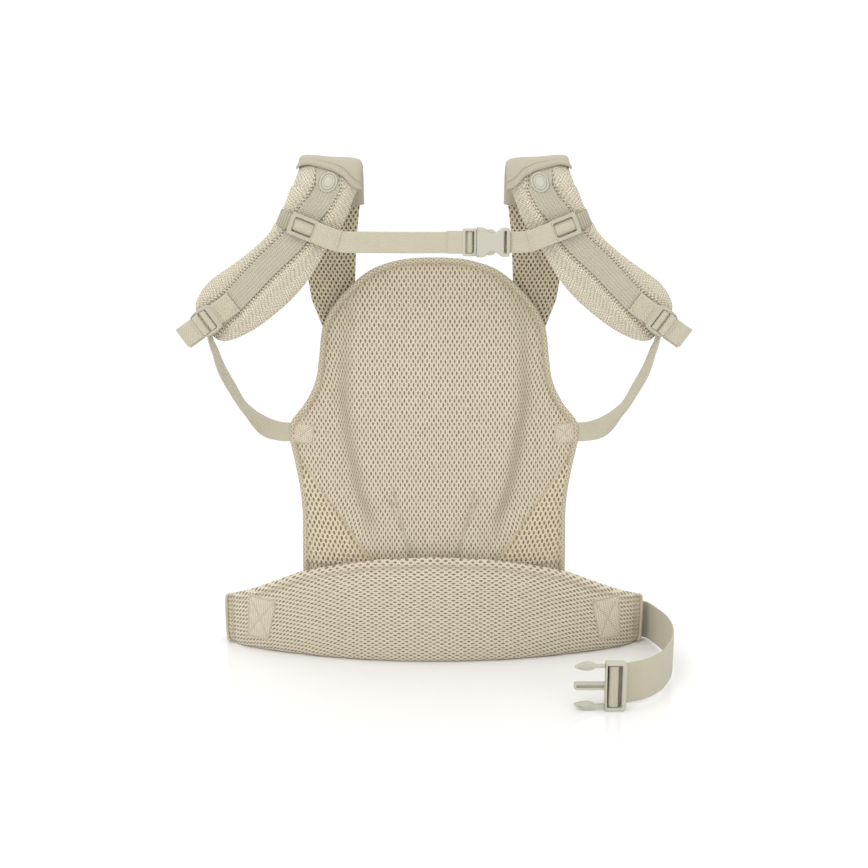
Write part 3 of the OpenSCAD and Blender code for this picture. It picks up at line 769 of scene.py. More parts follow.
def make_panel(mats):
    rows = EDGE[:-1]
    t = np.linspace(-1, 1, 97)
    x = rows[:, :1] * t[None]
    z = rows[:, 1:] * np.ones_like(x)
    front_y, back_y = panel_y(x, z)
    front = np.stack([x, front_y, z], axis=2)
    back = np.stack([x, back_y, z], axis=2)
    band = fold_band(x, z)
    steps = np.hypot(np.diff(x, axis=1), np.diff(front_y, axis=1)) * (1 + 0.45 * band[:, 1:])
    u = np.concatenate([np.zeros((len(rows), 1)), np.cumsum(steps, axis=1)], axis=1)
    u = u - u[:, 48:49]
    # painted shade: darker along the long folds, in a band beside the edging and along the darts
    rim = bell(edge_distance(x, z, EDGE), 8, 4)
    crease_shade = np.clip(0.8 * band + 0.4 * rim + 0.5 * dart_band(x, z), 0, 1)
    cloth = np.stack([u, z, crease_shade], axis=2)
    piece = slab(front, back, cloth).finish("panel_body", [mats["mesh"]])
    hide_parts("panel_liner", "panel_padding", "panel_shell")
    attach(piece, "panel")

    for side, sign in SIDES:
        picked = rows[(rows[:, 1] >= 122) & (rows[:, 1] <= 259)]
        s = np.linspace(0, 1, 22)
        inner = seam_x(picked[:, 1])[:, None]
        gx = inner + (picked[:, :1] - 1.5 - inner) * s
        gz = picked[:, 1:] * np.ones_like(gx)
        gy = panel_y(gx, gz)[0]
        swell = 0.9 * np.sin(np.pi * s)[None] ** 0.5
        front = np.stack([gx, gy - 0.8 - swell, gz], axis=2)
        back = np.stack([gx, gy + 0.6, gz], axis=2)
        # painted shade along both edges of the gusset, at its seams
        crease_shade = 0.8 * np.maximum(bell(s, 0, 0.1), bell(s, 1, 0.1))[None] * np.ones_like(gx)
        cloth = np.stack([gx - 0.1 * (gz - 180), gz, crease_shade], axis=2)
        piece = slab(front, back, cloth).finish("gusset_" + side, [mats["mesh_open"]], side=sign)
        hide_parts("side_gusset_" + side)
        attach(piece, "panel")

    # welts over the gusset seams and the darts
    build = Build()
    for sign in (1, -1):
        lines = [([(seam_x(z), z) for z in np.linspace(122, 260, 40)], 1.15)]
        lines += [(resample(DARTS[0], 20), 0.7), (resample(DARTS[1], 24), 0.6)]
        for line, radius in lines:
            line = np.array(line)
            y = panel_y(line[:, 0], line[:, 1])[0]
            path = np.stack([sign * line[:, 0], y - 0.25 * radius, line[:, 1]], axis=1)
            taper = np.interp(np.linspace(0, 1, len(path)), [0, 0.08, 0.92, 1], [0.3, 1, 1, 0.3])
            sweep(path, (1, 0, 0), round_profile(radius, 8, 0.8), build, scale=taper)
    piece = build.finish("panel_seams", [mats["binding"]])
    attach(piece, "panel")

    # tape folded over the panel's edge
    profile = np.array([(6.6, 0.2), (6.2, -0.5), (4.9, -0.6), (3.2, -1.9), (1, -2.1), (-0.9, -1.4),
                        (-1.7, 0.6), (-1.4, 2.6),
                        (0.5, 3.6), (4, 3.4), (6.5, 3.0), (6.5, 1.6), (3, 1.0)])
    whole = np.vstack([EDGE[:-1], (EDGE * [-1, 1])[::-1]])
    along = tangents(whole)
    inward = np.stack([-along[:, 1], along[:, 0]], axis=1)
    px = whole[:, None, 0] + profile[None, :, 0] * inward[:, None, 0]
    pz = whole[:, None, 1] + profile[None, :, 0] * inward[:, None, 1]
    shallow, deep = panel_y(px, pz)
    py = np.where(profile[None, :, 1] < 0.9, shallow + profile[None, :, 1],
                  np.minimum(shallow, deep) + profile[None, :, 1] + 1.0)
    rings = np.stack([px, py, pz], axis=2)
    cloth = np.zeros(rings.shape)
    cloth[..., 0] = run_lengths(profile)[None]
    cloth[..., 1] = run_lengths(whole)[:, None]
    # painted shade in the groove along the tape's inner edge, and lightly round its outer fold
    cloth[..., 2] = np.interp(profile[:, 0], [-2, -0.5, 3.5, 4.9, 6.6], [0.45, 0, 0, 0.9, 1])[None]
    build = Build()
    build.tube(rings, cloth)
    stitch(build, rings[:, 2] + [0, -0.1, 0], slot=1, radius=0.36)
    piece = build.finish("panel_edging", [mats["mesh_edge"], mats["thread"]])
    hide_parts("panel_binding")
    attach(piece, "panel")


# ---------- belt ----------

def belt_section(x):
    """Loop of (y, z, v) points round the belt's section at x."""
    top = float(np.interp(x, *zip(*BELT_TOP)))
    end = step_up(x, 236, 278)
    bottom = 5.0 * step_up(x, 269, 278)
    half = 11.0 * (1 - 0.62 * end ** 2)
    middle = float(drum(x, BELT_MIDDLE)) + 3.0 * end ** 2
    rise = np.concatenate([np.linspace(0, 0.06, 5), np.linspace(0.1, 0.9, 17), np.linspace(0.94, 1, 5)])
    curve = (1 - np.abs(2 * rise - 1) ** 5) ** 0.5
    z = bottom + rise * (top - bottom)
    bulge = 1.3 * np.sin(np.pi * rise) * (1 - end)
    pucker = 1.6 * bell(x, 150, 6) * (bell(z, 82, 10) + bell(z, 59, 9)) + 0.5 * soft_waves(x, z, 8)
    rolled = 1.5 * bell(rise, 0.9, 0.025) * (1 - end)
    front_y = middle - half * curve - bulge + pucker + rolled
    back_y = middle + half * curve + 0.4 * bulge
    front = np.stack([front_y, z, z], axis=1)
    back = np.stack([back_y, z, z + 300], axis=1)[::-1][1:-1]
    return np.vstack([front, back])


def make_belt(mats):
    stations = smooth_path([(x, float(drum(x, 640))) for x in np.linspace(0, BELT_END, 20)], 4.6)
    lengths = run_lengths(stations)
    for side, sign in SIDES:
        rings, cloth = [], []
        for x, length in zip(stations[:, 0], lengths):
            loop = belt_section(min(x, BELT_END))
            slant = 0.0021 * max(0.0, x - 60) ** 2
            rings.append([(x, y, z) for y, z, _ in loop])
            top = float(np.interp(x, *zip(*BELT_TOP)))
            # painted shade in the seam near the belt's end and along its top stitch line
            seam = max(bell(x, 270, 3.0), 0.7 * bell(x, BELT_END, 2.5))
            cloth.append([(v + slant, length, float(max(seam, 0.8 * bell(z, top - 9, 2.2)))) for _, z,
                          v in loop])
        build = Build()
        build.tube(np.array(rings), np.array(cloth))
        name = "belt_half_" + side
        piece = build.finish(name, [mats["mesh_belt"], mats["thread"], mats["binding"]], side=sign)
        drop = surface_of(piece)
        extra = Build()
        patch = Build()
        corners = np.array([(206, 75), (244, 78), (248, 19), (219, 17)]) * [sign, 1]
        quilt(patch, corners, lambda x, z: drop(x, z)[0][1])
        quilted = patch.finish("belt_patch_" + side, [mats["mesh_flat"], mats["thread"]])
        top_line = [(sign * x, np.interp(x, *zip(*BELT_TOP)) - 9) for x in np.linspace(3, 262, 40)]
        stitch_on(extra, drop, top_line)
        end_line = [(sign * 270, 8), (sign * 270.5, 40), (sign * 270, 64)]
        stitch_on(extra, drop, end_line)
        # piping round the belt's end
        rim = [(274.5, 2.6), (277.5, 8), (278.3, 40), (277.5, 64.5), (274, 68.5)]
        line = smooth_path(rim, 3)
        path = [(sign * x, float(drum(min(x, BELT_END), BELT_MIDDLE)) + 2.9 - 4.0, z) for x, z in line]
        sweep(path, (0, 1, 0), round_profile(2.1, 10), extra, slot=1)
        dressing = extra.finish("belt_trim_" + side, [mats["thread"], mats["binding"]])
        for made in (piece, dressing, quilted):
            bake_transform(made)
        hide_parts(*[f"belt_{layer}_{side}" for layer in ("liner", "foam", "shell")])
        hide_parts(*[f"belt_{layer}_centre" for layer in ("liner", "foam", "shell")])


# ---------- shoulder straps ----------

def strap_line():
    """(y, z) middle line of the strap: root, straight back, fold over the top."""
    run = (FOLD_Z + FOLD_RADIUS * math.sin(LEAN) - SEAM_YZ[1]) / math.cos(LEAN)
    points = [(43.0, 433), (42.6, 450), (42.0, 466), (41.5, 482)]
    for s in np.linspace(0, run, 12):
        points.append((SEAM_YZ[0] - s * math.sin(LEAN), SEAM_YZ[1] + s * math.cos(LEAN)))
    return points


BACK_IN = [(433, 99), (500, 98), (544, 95.3), (581, 90.7), (606, 87), (622, 86)]
BACK_OUT = [(433, 140), (452, 147), (468, 153), (492, 156.5), (506, 159), (540, 160), (580, 160),
            (622, 161)]


def cushion(inner, outer, normals, thick, columns=19, power=3.0, groove=None):
    """Front and back of a crowned pad between two edge lines, and its fabric coordinates."""
    t = np.linspace(-1, 1, columns)
    across = 0.5 * (1 + t)[None, :, None]
    middle = inner[:, None] * (1 - across) + outer[:, None] * across
    crown = np.sqrt(np.clip(1 - np.abs(t) ** power, 0, 1))[None] * thick[:, None] / 2
    front_crown = crown.copy()
    if groove is not None:
        front_crown = front_crown - groove(t)
    front = middle + front_crown[..., None] * normals[:, None]
    back = middle - crown[..., None] * normals[:, None]
    width = np.linalg.norm(outer - inner, axis=1)
    line = run_lengths((inner + outer) / 2)
    cloth = np.stack([0.5 * t[None] * width[:, None], line[:, None] * np.ones_like(t)[None]], axis=2)
    return front, back, cloth


def make_strap_back(mats, side, sign):
    line = smooth_path(strap_line(), 4.5)
    x_in = np.interp(line[:, 1], *zip(*BACK_IN))
    x_out = np.interp(line[:, 1], *zip(*BACK_OUT))
    inner = np.stack([x_in, line[:, 0], line[:, 1]], axis=1)
    outer = np.stack([x_out, line[:, 0], line[:, 1]], axis=1)
    along = tangents(line)
    normals = np.stack([np.zeros(len(line)), -along[:, 1], along[:, 0]], axis=1)
    thick = np.full(len(line), 10.0) * np.interp(np.arange(len(line)), [0, 3], [0.4, 1])
    front, back, cloth = cushion(inner, outer, normals, thick)
    piece = slab(settle(front), settle(back), cloth).finish("strap_back_" + side, [mats["mesh_dark"]],
                                                            side=sign, weld=0.02)
    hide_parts("strap_root_" + side, "strap_back_" + side)
    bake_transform(piece)


def pad_lines():
    """Inner and outer edge of the padded front, its normals, and where the hanging part begins."""
    angles = np.radians(np.arange(14.5, 179, 7.8))
    y = FOLD_Y + FOLD_RADIUS * np.cos(angles)
    z = FOLD_Z + FOLD_RADIUS * np.sin(angles)
    normal = np.stack([np.zeros(len(angles)), np.cos(angles), np.sin(angles)], axis=1)
    fold_in = np.stack([np.full(len(angles), 87.5), y, z], axis=1)
    fold_out = np.stack([np.full(len(angles), 164.5), y, z], axis=1)
    inner = smooth_path(PAD_INNER, 1)
    outer = smooth_path(PAD_OUTER, 1)
    count = 48
    inner, outer = resample(inner, count), resample(outer, count)
    hang_in = np.stack([inner[:, 0], np.full(count, PAD_Y), inner[:, 1]], axis=1)
    hang_out = np.stack([outer[:, 0], np.full(count, PAD_Y), outer[:, 1]], axis=1)
    hang_normal = np.tile([0.0, -1.0, 0.0], (count, 1))
    sides = [np.vstack(pair) for pair in ((fold_in, hang_in), (fold_out, hang_out), (normal, hang_normal))]
    return *sides, len(angles)


def make_pad(mats, side, sign):
    inner, outer, normals, first = pad_lines()
    count = len(inner)
    thick = np.full(count, 14.0)
    thick *= np.interp(np.arange(count), [count - 9, count - 4, count - 1], [1, 0.8, 0.3])
    groove = lambda t: 1.9 * (1 - step_up(np.abs(t), 0.28, 0.42))[None]
    front, back, cloth = cushion(inner, outer, normals, thick, columns=25, power=3.4, groove=groove)
    web = smooth_path(PAD_WEB, 2)
    away = np.hypot(front[..., None, 0] - web[:, 0], front[..., None, 2] - web[:, 1])
    nearest = away.argmin(axis=2)
    heading = tangents(web)[nearest]
    offset = front[..., [0, 2]] - web[nearest]
    aside = offset[..., 0] * -heading[..., 1] + offset[..., 1] * heading[..., 0]
    hanging = (np.arange(count) >= first)[:, None]
    cloth[..., 0] = np.where(hanging, aside, front[..., 0] - PAD_WEB[0][0])
    build = slab(settle(front), settle(back), cloth)
    piece = build.finish("shoulder_pad_" + side, [mats["mesh_fine"]], side=sign, weld=0.02)
    places = np.array([v.co for v in piece.data.vertices]) / MM
    near_web = np.full(len(places), 1e9)
    for wx, wz in web:
        near_web = np.minimum(near_web, np.hypot(sign * places[:, 0] - wx, places[:, 2] - wz))
    pin = np.where((near_web < 14.5) & (places[:, 1] < PAD_Y + 2), 1.0, 0.0)
    pin = np.maximum(pin, (np.abs(places[:, 1] - PAD_Y) < 0.6) & (places[:, 2] < FOLD_Z))
    pin = np.maximum(pin, places[:, 2] > FOLD_Z - 6)
    puff(piece, pin.astype(float), cap=2.4)
    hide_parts(*[f"strap_{layer}_{side}" for layer in ("cover", "foam", "lining")])
    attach(piece, "strap_" + side)
    return piece


def settle(points):
    """Lets the strap's fold lean as it hangs: its inner side sinks and its outer side draws in."""
    points = np.array(points, float)
    x, z = points[..., 0].copy(), points[..., 2].copy()
    points[..., 0] = x - 8.5 * step_up(z, 606, 640) * step_up(x, 118, 166)
    points[..., 2] = z - 0.06 * (164 - x) * step_up(z, 585, 640)
    return points


def fold_point(s, radius):
    """(y, z) at a distance s along the fold from the top of the strap's back; below it when negative."""
    angle = LEAN + np.maximum(s, 0) / FOLD_ARC
    y = FOLD_Y + radius * np.cos(angle) - np.minimum(s, 0) * math.sin(LEAN)
    z = FOLD_Z + radius * np.sin(angle) + np.minimum(s, 0) * math.cos(LEAN)
    return y, z


def fold_sheet(rows, columns, lip_angles, radius, thick, curl):
    """A sheet over the fold, from its hem on the strap's back to a lip at an angle for each column."""
    t = np.linspace(-1, 1, columns)
    x = 125.75 + 41.25 * np.sin(t * math.pi / 2)
    if lip_angles is None:
        last = np.full(columns, math.radians(115))
    else:
        last = np.radians(np.interp(x, LIP_X, lip_angles))
    share = np.linspace(0, 1, rows)[:, None]
    s = CAP_HEM + share * ((last - LEAN)[None] * FOLD_ARC - CAP_HEM)
    r = radius - curl * np.abs(t)[None] ** 5 * np.ones_like(s)
    if lip_angles is not None:
        to_lip = (last - LEAN)[None] * FOLD_ARC - s
        r = r + 1.2 * (1 - step_up(to_lip, 6.5, 8.0)) - 0.5 * bell(to_lip, 8.6, 1.2)
    puffy = 0.5 * soft_waves(s * 1.5, x[None] * 1.3, 4)
    sides = []
    for offset in (thick / 2, -thick / 2):
        y, z = fold_point(s, r + offset + puffy)
        sides.append(np.stack([x[None] * np.ones_like(s), y, z], axis=2))
    # painted shade in the groove where the lip's roll meets the cap
    crease_shade = np.zeros_like(s) if lip_angles is None else 0.9 * bell(to_lip, 8.4, 1.0)
    cloth = np.stack([x[None] * np.ones_like(s), s, crease_shade], axis=2)
    return settle(sides[0]), settle(sides[1]), cloth


def make_cap(mats, side, sign):
    front, back, cloth = fold_sheet(80, 33, LIP_ANGLE, 35.4, 1.6, 8.5)
    build = slab(front, back, cloth)
    lip = 0.5 * (front[-1] + back[-1])
    roll = 0.8 + 1.9 * np.sin(np.linspace(0, math.pi, len(lip))) ** 0.5
    sweep(lip, (0, -0.5, 1), round_profile(1, 12), build, scale=roll)
    for row, length in ((front[-8], 2.6), (front[5], 2.6)):
        line = resample(row[2:-2], 60)
        y, z = line[:, 1] - FOLD_Y, line[:, 2] - FOLD_Z
        normal = np.stack([np.zeros(60), y, np.maximum(z, 0)], axis=1)
        normal = normal / np.linalg.norm(normal, axis=1)[:, None]
        stitch(build, line + 0.1 * normal, normal, slot=1, length=length)
    front, back, cloth = fold_sheet(20, 21, None, 19.4, 1.4, -7)
    slab(front, back, cloth, build)
    hem = front[0] * 0.5 + back[0] * 0.5
    sweep(hem[1:-1], (0, 0, 1), round_profile(1.3, 8), build)
    ride_as(build, "strap_cap_" + side, [mats["cap_fabric"], mats["thread"]], "cap_fabric", "strap_" + side,
            side=sign)


def make_strap_web(mats, side, sign):
    front_y = PAD_Y - 7 + 0.4
    turns = np.radians(np.arange(128, 178, 6))
    ring = [(124, FOLD_Y + 33.6 * math.cos(a), FOLD_Z + 33.6 * math.sin(a)) for a in turns]
    hang = [(x, front_y, z) for x, z in smooth_path(PAD_WEB, 3.5)]
    path = settle(ring + hang[1:])
    along = tangents(path)
    normal = np.array([[0, math.cos(a), math.sin(a)] for a in turns] + [[0, -1, 0]] * (len(hang) - 1))
    across = np.cross(along, normal)
    build = sweep(path, across, ribbon_profile(26, 1.6))
    for offset in (-11.4, 11.4):
        edge = path + offset * across / np.linalg.norm(across, axis=1)[:, None] + 0.9 * normal
        stitch(build, edge, normal, slot=1, radius=0.3, length=2.2)
    ride_as(build, "strap_web_" + side, [mats["webbing_strap"], mats["thread"]], "webbing", "strap_" + side,
            side=sign)


# ---------- webbing and hardware ----------

def rounded(corners, radius, steps=5):
    """A closed outline with its corners rounded."""
    p = np.array(corners, float)
    radius = radius if hasattr(radius, "__len__") else [radius] * len(p)
    outline = []
    for i, r in enumerate(radius):
        before, here, after = p[i - 1], p[i], p[(i + 1) % len(p)]
        to_before, to_after = before - here, after - here
        r = min(r, 0.49 * np.linalg.norm(to_before), 0.49 * np.linalg.norm(to_after))
        a = here + to_before / np.linalg.norm(to_before) * r
        b = here + to_after / np.linalg.norm(to_after) * r
        for t in np.linspace(0, 1, steps):
            outline.append((1 - t) ** 2 * a + 2 * t * (1 - t) * here + t * t * b)
    return np.array(outline)


def box(a0, a1, b0, b1):
    return [(a0, b0), (a1, b0), (a1, b1), (a0, b1)]


def facing(centre, degrees=0.0):
    """Local (a, b, c) to the world: a and b in the front's plane, turned by degrees, c forwards."""
    c, s = math.cos(math.radians(degrees)), math.sin(math.radians(degrees))
    axes = np.array([[c, 0, s], [-s, 0, c], [0, -1, 0]])
    return lambda points: np.array(centre) + np.array(points, float) @ axes


def plate(build, place, outline, holes, c0, c1, bevel):
    """A moulded plate with rounded edges between the depths c0 and c1."""
    curve = bpy.data.curves.new("plate", "CURVE")
    curve.dimensions = "2D"
    curve.fill_mode = "BOTH"
    curve.extrude = (c1 - c0) / 2 - bevel
    curve.bevel_depth = bevel
    curve.bevel_resolution = 3
    curve.offset = -bevel
    for k, loop in enumerate([outline] + list(holes)):
        loop = np.array(loop)
        area = np.sum(loop[:, 0] * np.roll(loop[:, 1], -1) - np.roll(loop[:, 0], -1) * loop[:, 1])
        if (area > 0) != (k == 0):
            loop = loop[::-1]
        spline = curve.splines.new("POLY")
        spline.points.add(len(loop) - 1)
        for point, (a, b) in zip(spline.points, loop):
            point.co = (a, b, 0, 1)
        spline.use_cyclic_u = True
    maker = bpy.data.objects.new("plate", curve)
    bpy.context.scene.collection.objects.link(maker)
    mesh = bpy.data.meshes.new_from_object(maker.evaluated_get(bpy.context.evaluated_depsgraph_get()))
    local = np.array([v.co for v in mesh.vertices]) + [0, 0, (c0 + c1) / 2]
    base = build.add_points(place(local), local)
    for face in mesh.polygons:
        build.add_face([base + k for k in face.vertices])
    bpy.data.objects.remove(maker)
    bpy.data.meshes.remove(mesh)
    bpy.data.curves.remove(curve)


def bulge(build, place, a0, a1, b0, b1, c0, rise, axis="b"):
    """Webbing that swells round a bar: a half round cushion over a0..a1, b0..b1 from the depth c0."""
    t, s = np.meshgrid(np.linspace(-1, 1, 13), np.linspace(-1, 1, 17))
    if axis == "b":
        a, b = 0.5 * (a0 + a1) + 0.5 * (a1 - a0) * t, 0.5 * (b0 + b1) + 0.5 * (b1 - b0) * s
        u, v = b, a
    else:
        a, b = 0.5 * (a0 + a1) + 0.5 * (a1 - a0) * s, 0.5 * (b0 + b1) + 0.5 * (b1 - b0) * t
        u, v = a, b
    c = c0 + rise * np.sqrt(np.clip(1 - t ** 2, 0, 1)) * (1 - 0.12 * s ** 6)
    front = place(np.stack([a, b, c], axis=2).reshape(-1, 3)).reshape(17, 13, 3)
    back = place(np.stack([a, b, np.full_like(a, c0 - 0.8)], axis=2).reshape(-1, 3)).reshape(17, 13, 3)
    slab(front, back, np.stack([u, v], axis=2), build)


def add_box_x(build, place, corners, c):
    """Stitches a box-X on a flat piece at the depth c."""
    for a, b in box_x(corners):
        line = np.array([(p[0], p[1], c) for p in resample(np.array([a, b], float), 20)])
        normal = place([(0, 0, 1)])[0] - place([(0, 0, 0)])[0]
        stitch(build, place(line), np.tile(normal, (20, 1)), slot=1, length=2.2, gap=1.1, radius=0.32)


def flat_strip(build, place, path, width, thick=1.6):
    """Webbing whose width lies along b, through (a, c) points."""
    path = smooth_path(path, 1.4)
    line = place(np.stack([path[:, 0], np.zeros(len(path)), path[:, 1]], axis=1))
    across = place([(0, 1, 0)])[0] - place([(0, 0, 0)])[0]
    sweep(line, across, ribbon_profile(width, thick), build)


SIDE_STRAP = [
    (268.5, -45, 451, 90), (268, -44, 438, 90), (266, -41, 426, 88), (263.5, -37.5, 417, 85),
    (261, -32, 405, 82),
    (257.6, -26, 391.5, 79), (252.7, -18, 377.5, 78), (247.3, -8, 363, 79), (241.9, 2, 348, 81),
    (235.2, 13, 333, 80),
    (225, 25, 317, 60), (211.7, 33, 305, 26), (197, 37.5, 299.4, 4), (184, 39.8, 298, 0),
    (176, 40.5, 297.6, 0),
]


def make_side_strap(mats, side, sign):
    path = smooth_path(SIDE_STRAP, 3)
    line, twist = path[:, :3], np.radians(path[:, 3])[:, None]
    along = tangents(line)
    flat = np.cross([0, 1, 0], along)
    flat = flat / np.linalg.norm(flat, axis=1)[:, None]
    across = flat * np.cos(twist) + np.cross(along, flat) * np.sin(twist)
    piece = sweep(line, across, ribbon_profile(25, 1.7)).finish("side_strap_" + side, [mats["webbing"]],
                                                                side=sign)
    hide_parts("side_strap_" + side)
    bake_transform(piece)

    # stitched patch that holds the strap at the panel's edge
    build = Build()
    corners = [(153.3, 309.6), (178.6, 311.2), (179.6, 285.6), (154.3, 283.4)]
    quilt(build, corners, lambda x, z: float(panel_y(np.array([x]), np.array([z]))[0][0]), count=25)
    piece = build.finish("side_patch_" + side, [mats["mesh_flat"], mats["thread"]], side=sign)
    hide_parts("side_tab_" + side)
    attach(piece, "panel")


def make_adjuster(mats, side, sign):
    place = facing((269, -57.15, 456), -35)
    # stitched tab on the pad, looped round the adjuster's bar
    build = Build()
    flat_strip(build, place,
               [(-39, -4.9), (-30, -4.7), (-20, -4.4), (-15.5, -3.4), (-12.6, -0.6), (-10.4, 1.6)], 26, 1.6)
    add_box_x(build, place, box(-36.5, -18.5, -10, 10), -3.75)
    stitch(build, place([(-16.6, b, -2.6) for b in np.linspace(-11.5, 11.5, 20)]), slot=1)
    ride_as(build, "adjuster_tab_" + side, [mats["webbing"], mats["thread"]], "webbing", "strap_" + side,
            side=sign)

    build = Build()
    outline = rounded([(-13.8, -14), (-10.5, -16.4), (3, -17), (11.5, -15.2), (16.2, -9.5), (16.2, 9.5),
                       (11.5, 15.2), (3, 17),
                       (-10.5, 16.4), (-13.8, 14)], [2.5, 3, 6, 6, 5, 5, 6, 6, 3, 2.5])
    plate(build, place, outline, [rounded(box(-7.6, 12.2, -12.9, 12.9), 1.5)], -2.6, 2.9, 1.3)
    sweep(place([(-10.3, b, 0.3) for b in np.linspace(-14, 14, 12)]), (0, -1, 0), round_profile(2.9, 14),
          build)
    ride_as(build, "adjuster_" + side, [mats["plastic_warm"]], "plastic", "adjuster_body_" + side,
            side=sign)

    # webbing over the bars and its folded, sewn free end
    build = Build()
    bulge(build, place, -6.9, 2.0, -12.4, 12.4, -1.2, 4.6)
    bulge(build, place, 3.0, 13.4, -12.4, 12.4, -1.2, 5.6)
    flat_strip(build, place, [(-7.5, -2.0), (2, -2.2), (13, -2.0)], 24, 1.2)
    fold = [(11, 1.4), (16, 1.0), (24, 0.6), (31, 0.9), (35.2, -0.9), (35.6, -3.2), (32.5, -4.7),
            (24, -4.3), (16, -4.5)]
    flat_strip(build, place, fold, 25.4)
    low = lambda points: place(np.array(points, float) - [0, 2.6, 0])
    flat_strip(build, low,
               [(14, -3.0), (22, -1.8), (30, -1.7), (33.6, -2.8), (33.2, -4.6), (24, -5.4), (14, -5.2)], 25,
               1.7)
    stitch(build, place([(31, b, 1.75) for b in np.linspace(-11, 11, 20)]), slot=1)
    ride_as(build, "web_tail_" + side, [mats["webbing"], mats["thread"]], "webbing",
            "adjuster_body_" + side, side=sign)


def make_slider(mats, side, sign):
    place = facing((152, -56.45, 566), 22)
    build = Build()
    outline = rounded(box(-16.5, 16.5, -13, 13), 3)
    holes = [rounded(box(-12, 12, -8.8, 8.8), 2.4)]
    plate(build, place, outline, holes, -2.2, 2.6, 1.1)
    ride_as(build, "chest_slider_" + side, [mats["plastic_warm"]], "plastic", "slider_" + side, side=sign)

    build = Build()
    bulge(build, place, -11.8, 11.8, -8.0, 8.0, -2.6, 3.8, axis="a")
    piece = build.finish("slider_bulge_" + side, [mats["webbing"]], side=sign)
    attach(piece, "slider_" + side)

    build = Build()
    wrap = [(12.5, -0.6), (17, -0.8), (22, -2.2), (27, -5.6), (30.4, -10), (31.3, -14.5), (29.2, -19.5),
            (24, -22.6), (16, -23.6)]
    flat_strip(build, place, wrap, 18.5, 1.3)
    ride_as(build, "chest_elastic_" + side, [mats["elastic"]], "elastic", "slider_" + side, side=sign)


def make_chest_web(mats, side, sign, end_x):
    y = -58.2
    path = [(140, y + 1.0, 561.2), (134, y, 558.8), (124, y, 554.7), (115, y, 551.3), (106, y, 549.4),
            (97, y, CHEST_Z), (88, y, CHEST_Z)]
    if end_x < 0:
        path += [(60, y, 548.8), (30, y, 548.6), (0, y, 548.7), (end_x, y, CHEST_Z)]
    else:
        path[-2:] = [(x, y + aside, CHEST_Z) for x, aside in ((92, 0), (88, 0.8), (85, 2.6), (end_x, 3.2))]
    line = smooth_path(path, 3)
    across = np.cross(tangents(line), [0, -1, 0])
    build = sweep(line, across, ribbon_profile(25, 1.5))
    # doubled and stitched where it turns back from the slider
    loop = smooth_path([(139, y - 1.0, 560.8), (130, y - 1.3, 557.2), (119, y - 1.3, 552.8),
                        (110.5, y - 1.2, 550)], 2)
    sweep(loop, np.cross(tangents(loop), [0, -1, 0]), ribbon_profile(24.6, 1.2), build)
    seam = resample(np.array([(117.5, y - 2.05, 541.2), (109.4, y - 2.05, 562)]), 20)
    stitch(build, seam, slot=1, length=2.2, gap=1.1, radius=0.3)
    piece = build.finish("chest_web_" + side, [mats["webbing"], mats["thread"]], side=sign)
    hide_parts("chest_web_" + side)
    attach(piece, "slider_" + side)
    return piece


def make_chest(mats):
    place = facing((0, -58.25, CHEST_Z))
    make_chest_web(mats, "right", 1, 81.2)
    left = make_chest_web(mats, "left", -1, -38)
    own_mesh(left)

    build = Build()
    outline = rounded([(33, -14.5), (35.5, -16), (49.3, -16), (49.3, 16), (35.5, 16), (33, 14.5)],
                      [2, 3, 1.2, 1.2, 3, 2])
    plate(build, place, outline, [rounded(box(36.4, 46.6, -12.9, 12.9), 1.2)], -4.2, 4.2, 1.5)
    plate(build, place, rounded(box(48, 71, -2.4, 2.4), 2), [], -2, 2, 0.8)
    ride_as(build, "chest_buckle_male", [mats["plastic"]], "plastic", "chest_plug")

    build = Build()
    bulge(build, place, 37.8, 45.4, -12.4, 12.4, -2.0, 4.9)
    flat_strip(build, place, [(35.5, -3.3), (41, -3.5), (46.8, -3.4)], 25, 0.9)
    flat_strip(build, place,
               [(35, 2.2), (31, 2.6), (24, 2.5), (19, 2.3), (16.3, 1.3), (15.4, -0.5), (16.6, -2.2),
                (22, -2.6), (32, -2.6)], 26.2, 1.5)
    ride_as(build, "chest_web_wrap", [mats["webbing"]], "webbing", "chest_plug")

    half = [(49.6, 15.3), (51.5, 17), (57.5, 17), (61, 14.8), (64.5, 11.4), (68.5, 10.4), (72.5, 11.8),
            (76.5, 14.8), (80, 16.6), (85, 16.4), (88, 13.4)]
    outline = smooth_path(half + [(x, -z) for x, z in half[::-1]], 1.6, closed=True)[:-1]
    build = Build()
    plate(build, place, outline, [rounded(box(81.6, 84.4, -12.9, 12.9), 0.8)], -5, 5, 2.2)
    ride_as(build, "chest_buckle_female", [mats["plastic"]], "plastic", "slider_right")

    for where, sign in (("upper", 1), ("lower", -1)):
        arm = [(49.6, 7.4), (49.6, 10.6), (58, 12), (61.5, 14.9), (67, 15.3), (70, 13.6), (73, 10.5),
               (73, 8.6), (63, 7.8)]
        build = Build()
        plate(build, place, rounded([(a, sign * b) for a, b in arm], 1.6, 4), [], -2.4, 2.4, 0.9)
        ride_as(build, "chest_prong_" + where, [mats["plastic"]], "plastic", "chest_arm_" + where)


WAIST_LOOP = [
    (229.5, -136.2), (238, -132.6), (249, -128), (264, -117), (279, -100), (291, -78), (300, -54),
    (305, -28), (306, 0), (304, 24), (299, 46), (294, 62), (289.5, 73), (285, 78.2), (281, 78.9),
]


def wing_path(x0, x1):
    """Along the back of a belt wing, in plan."""
    return [(x, float(drum(x, 616.6)) + 1.2) for x in np.linspace(x0, x1, 7)]


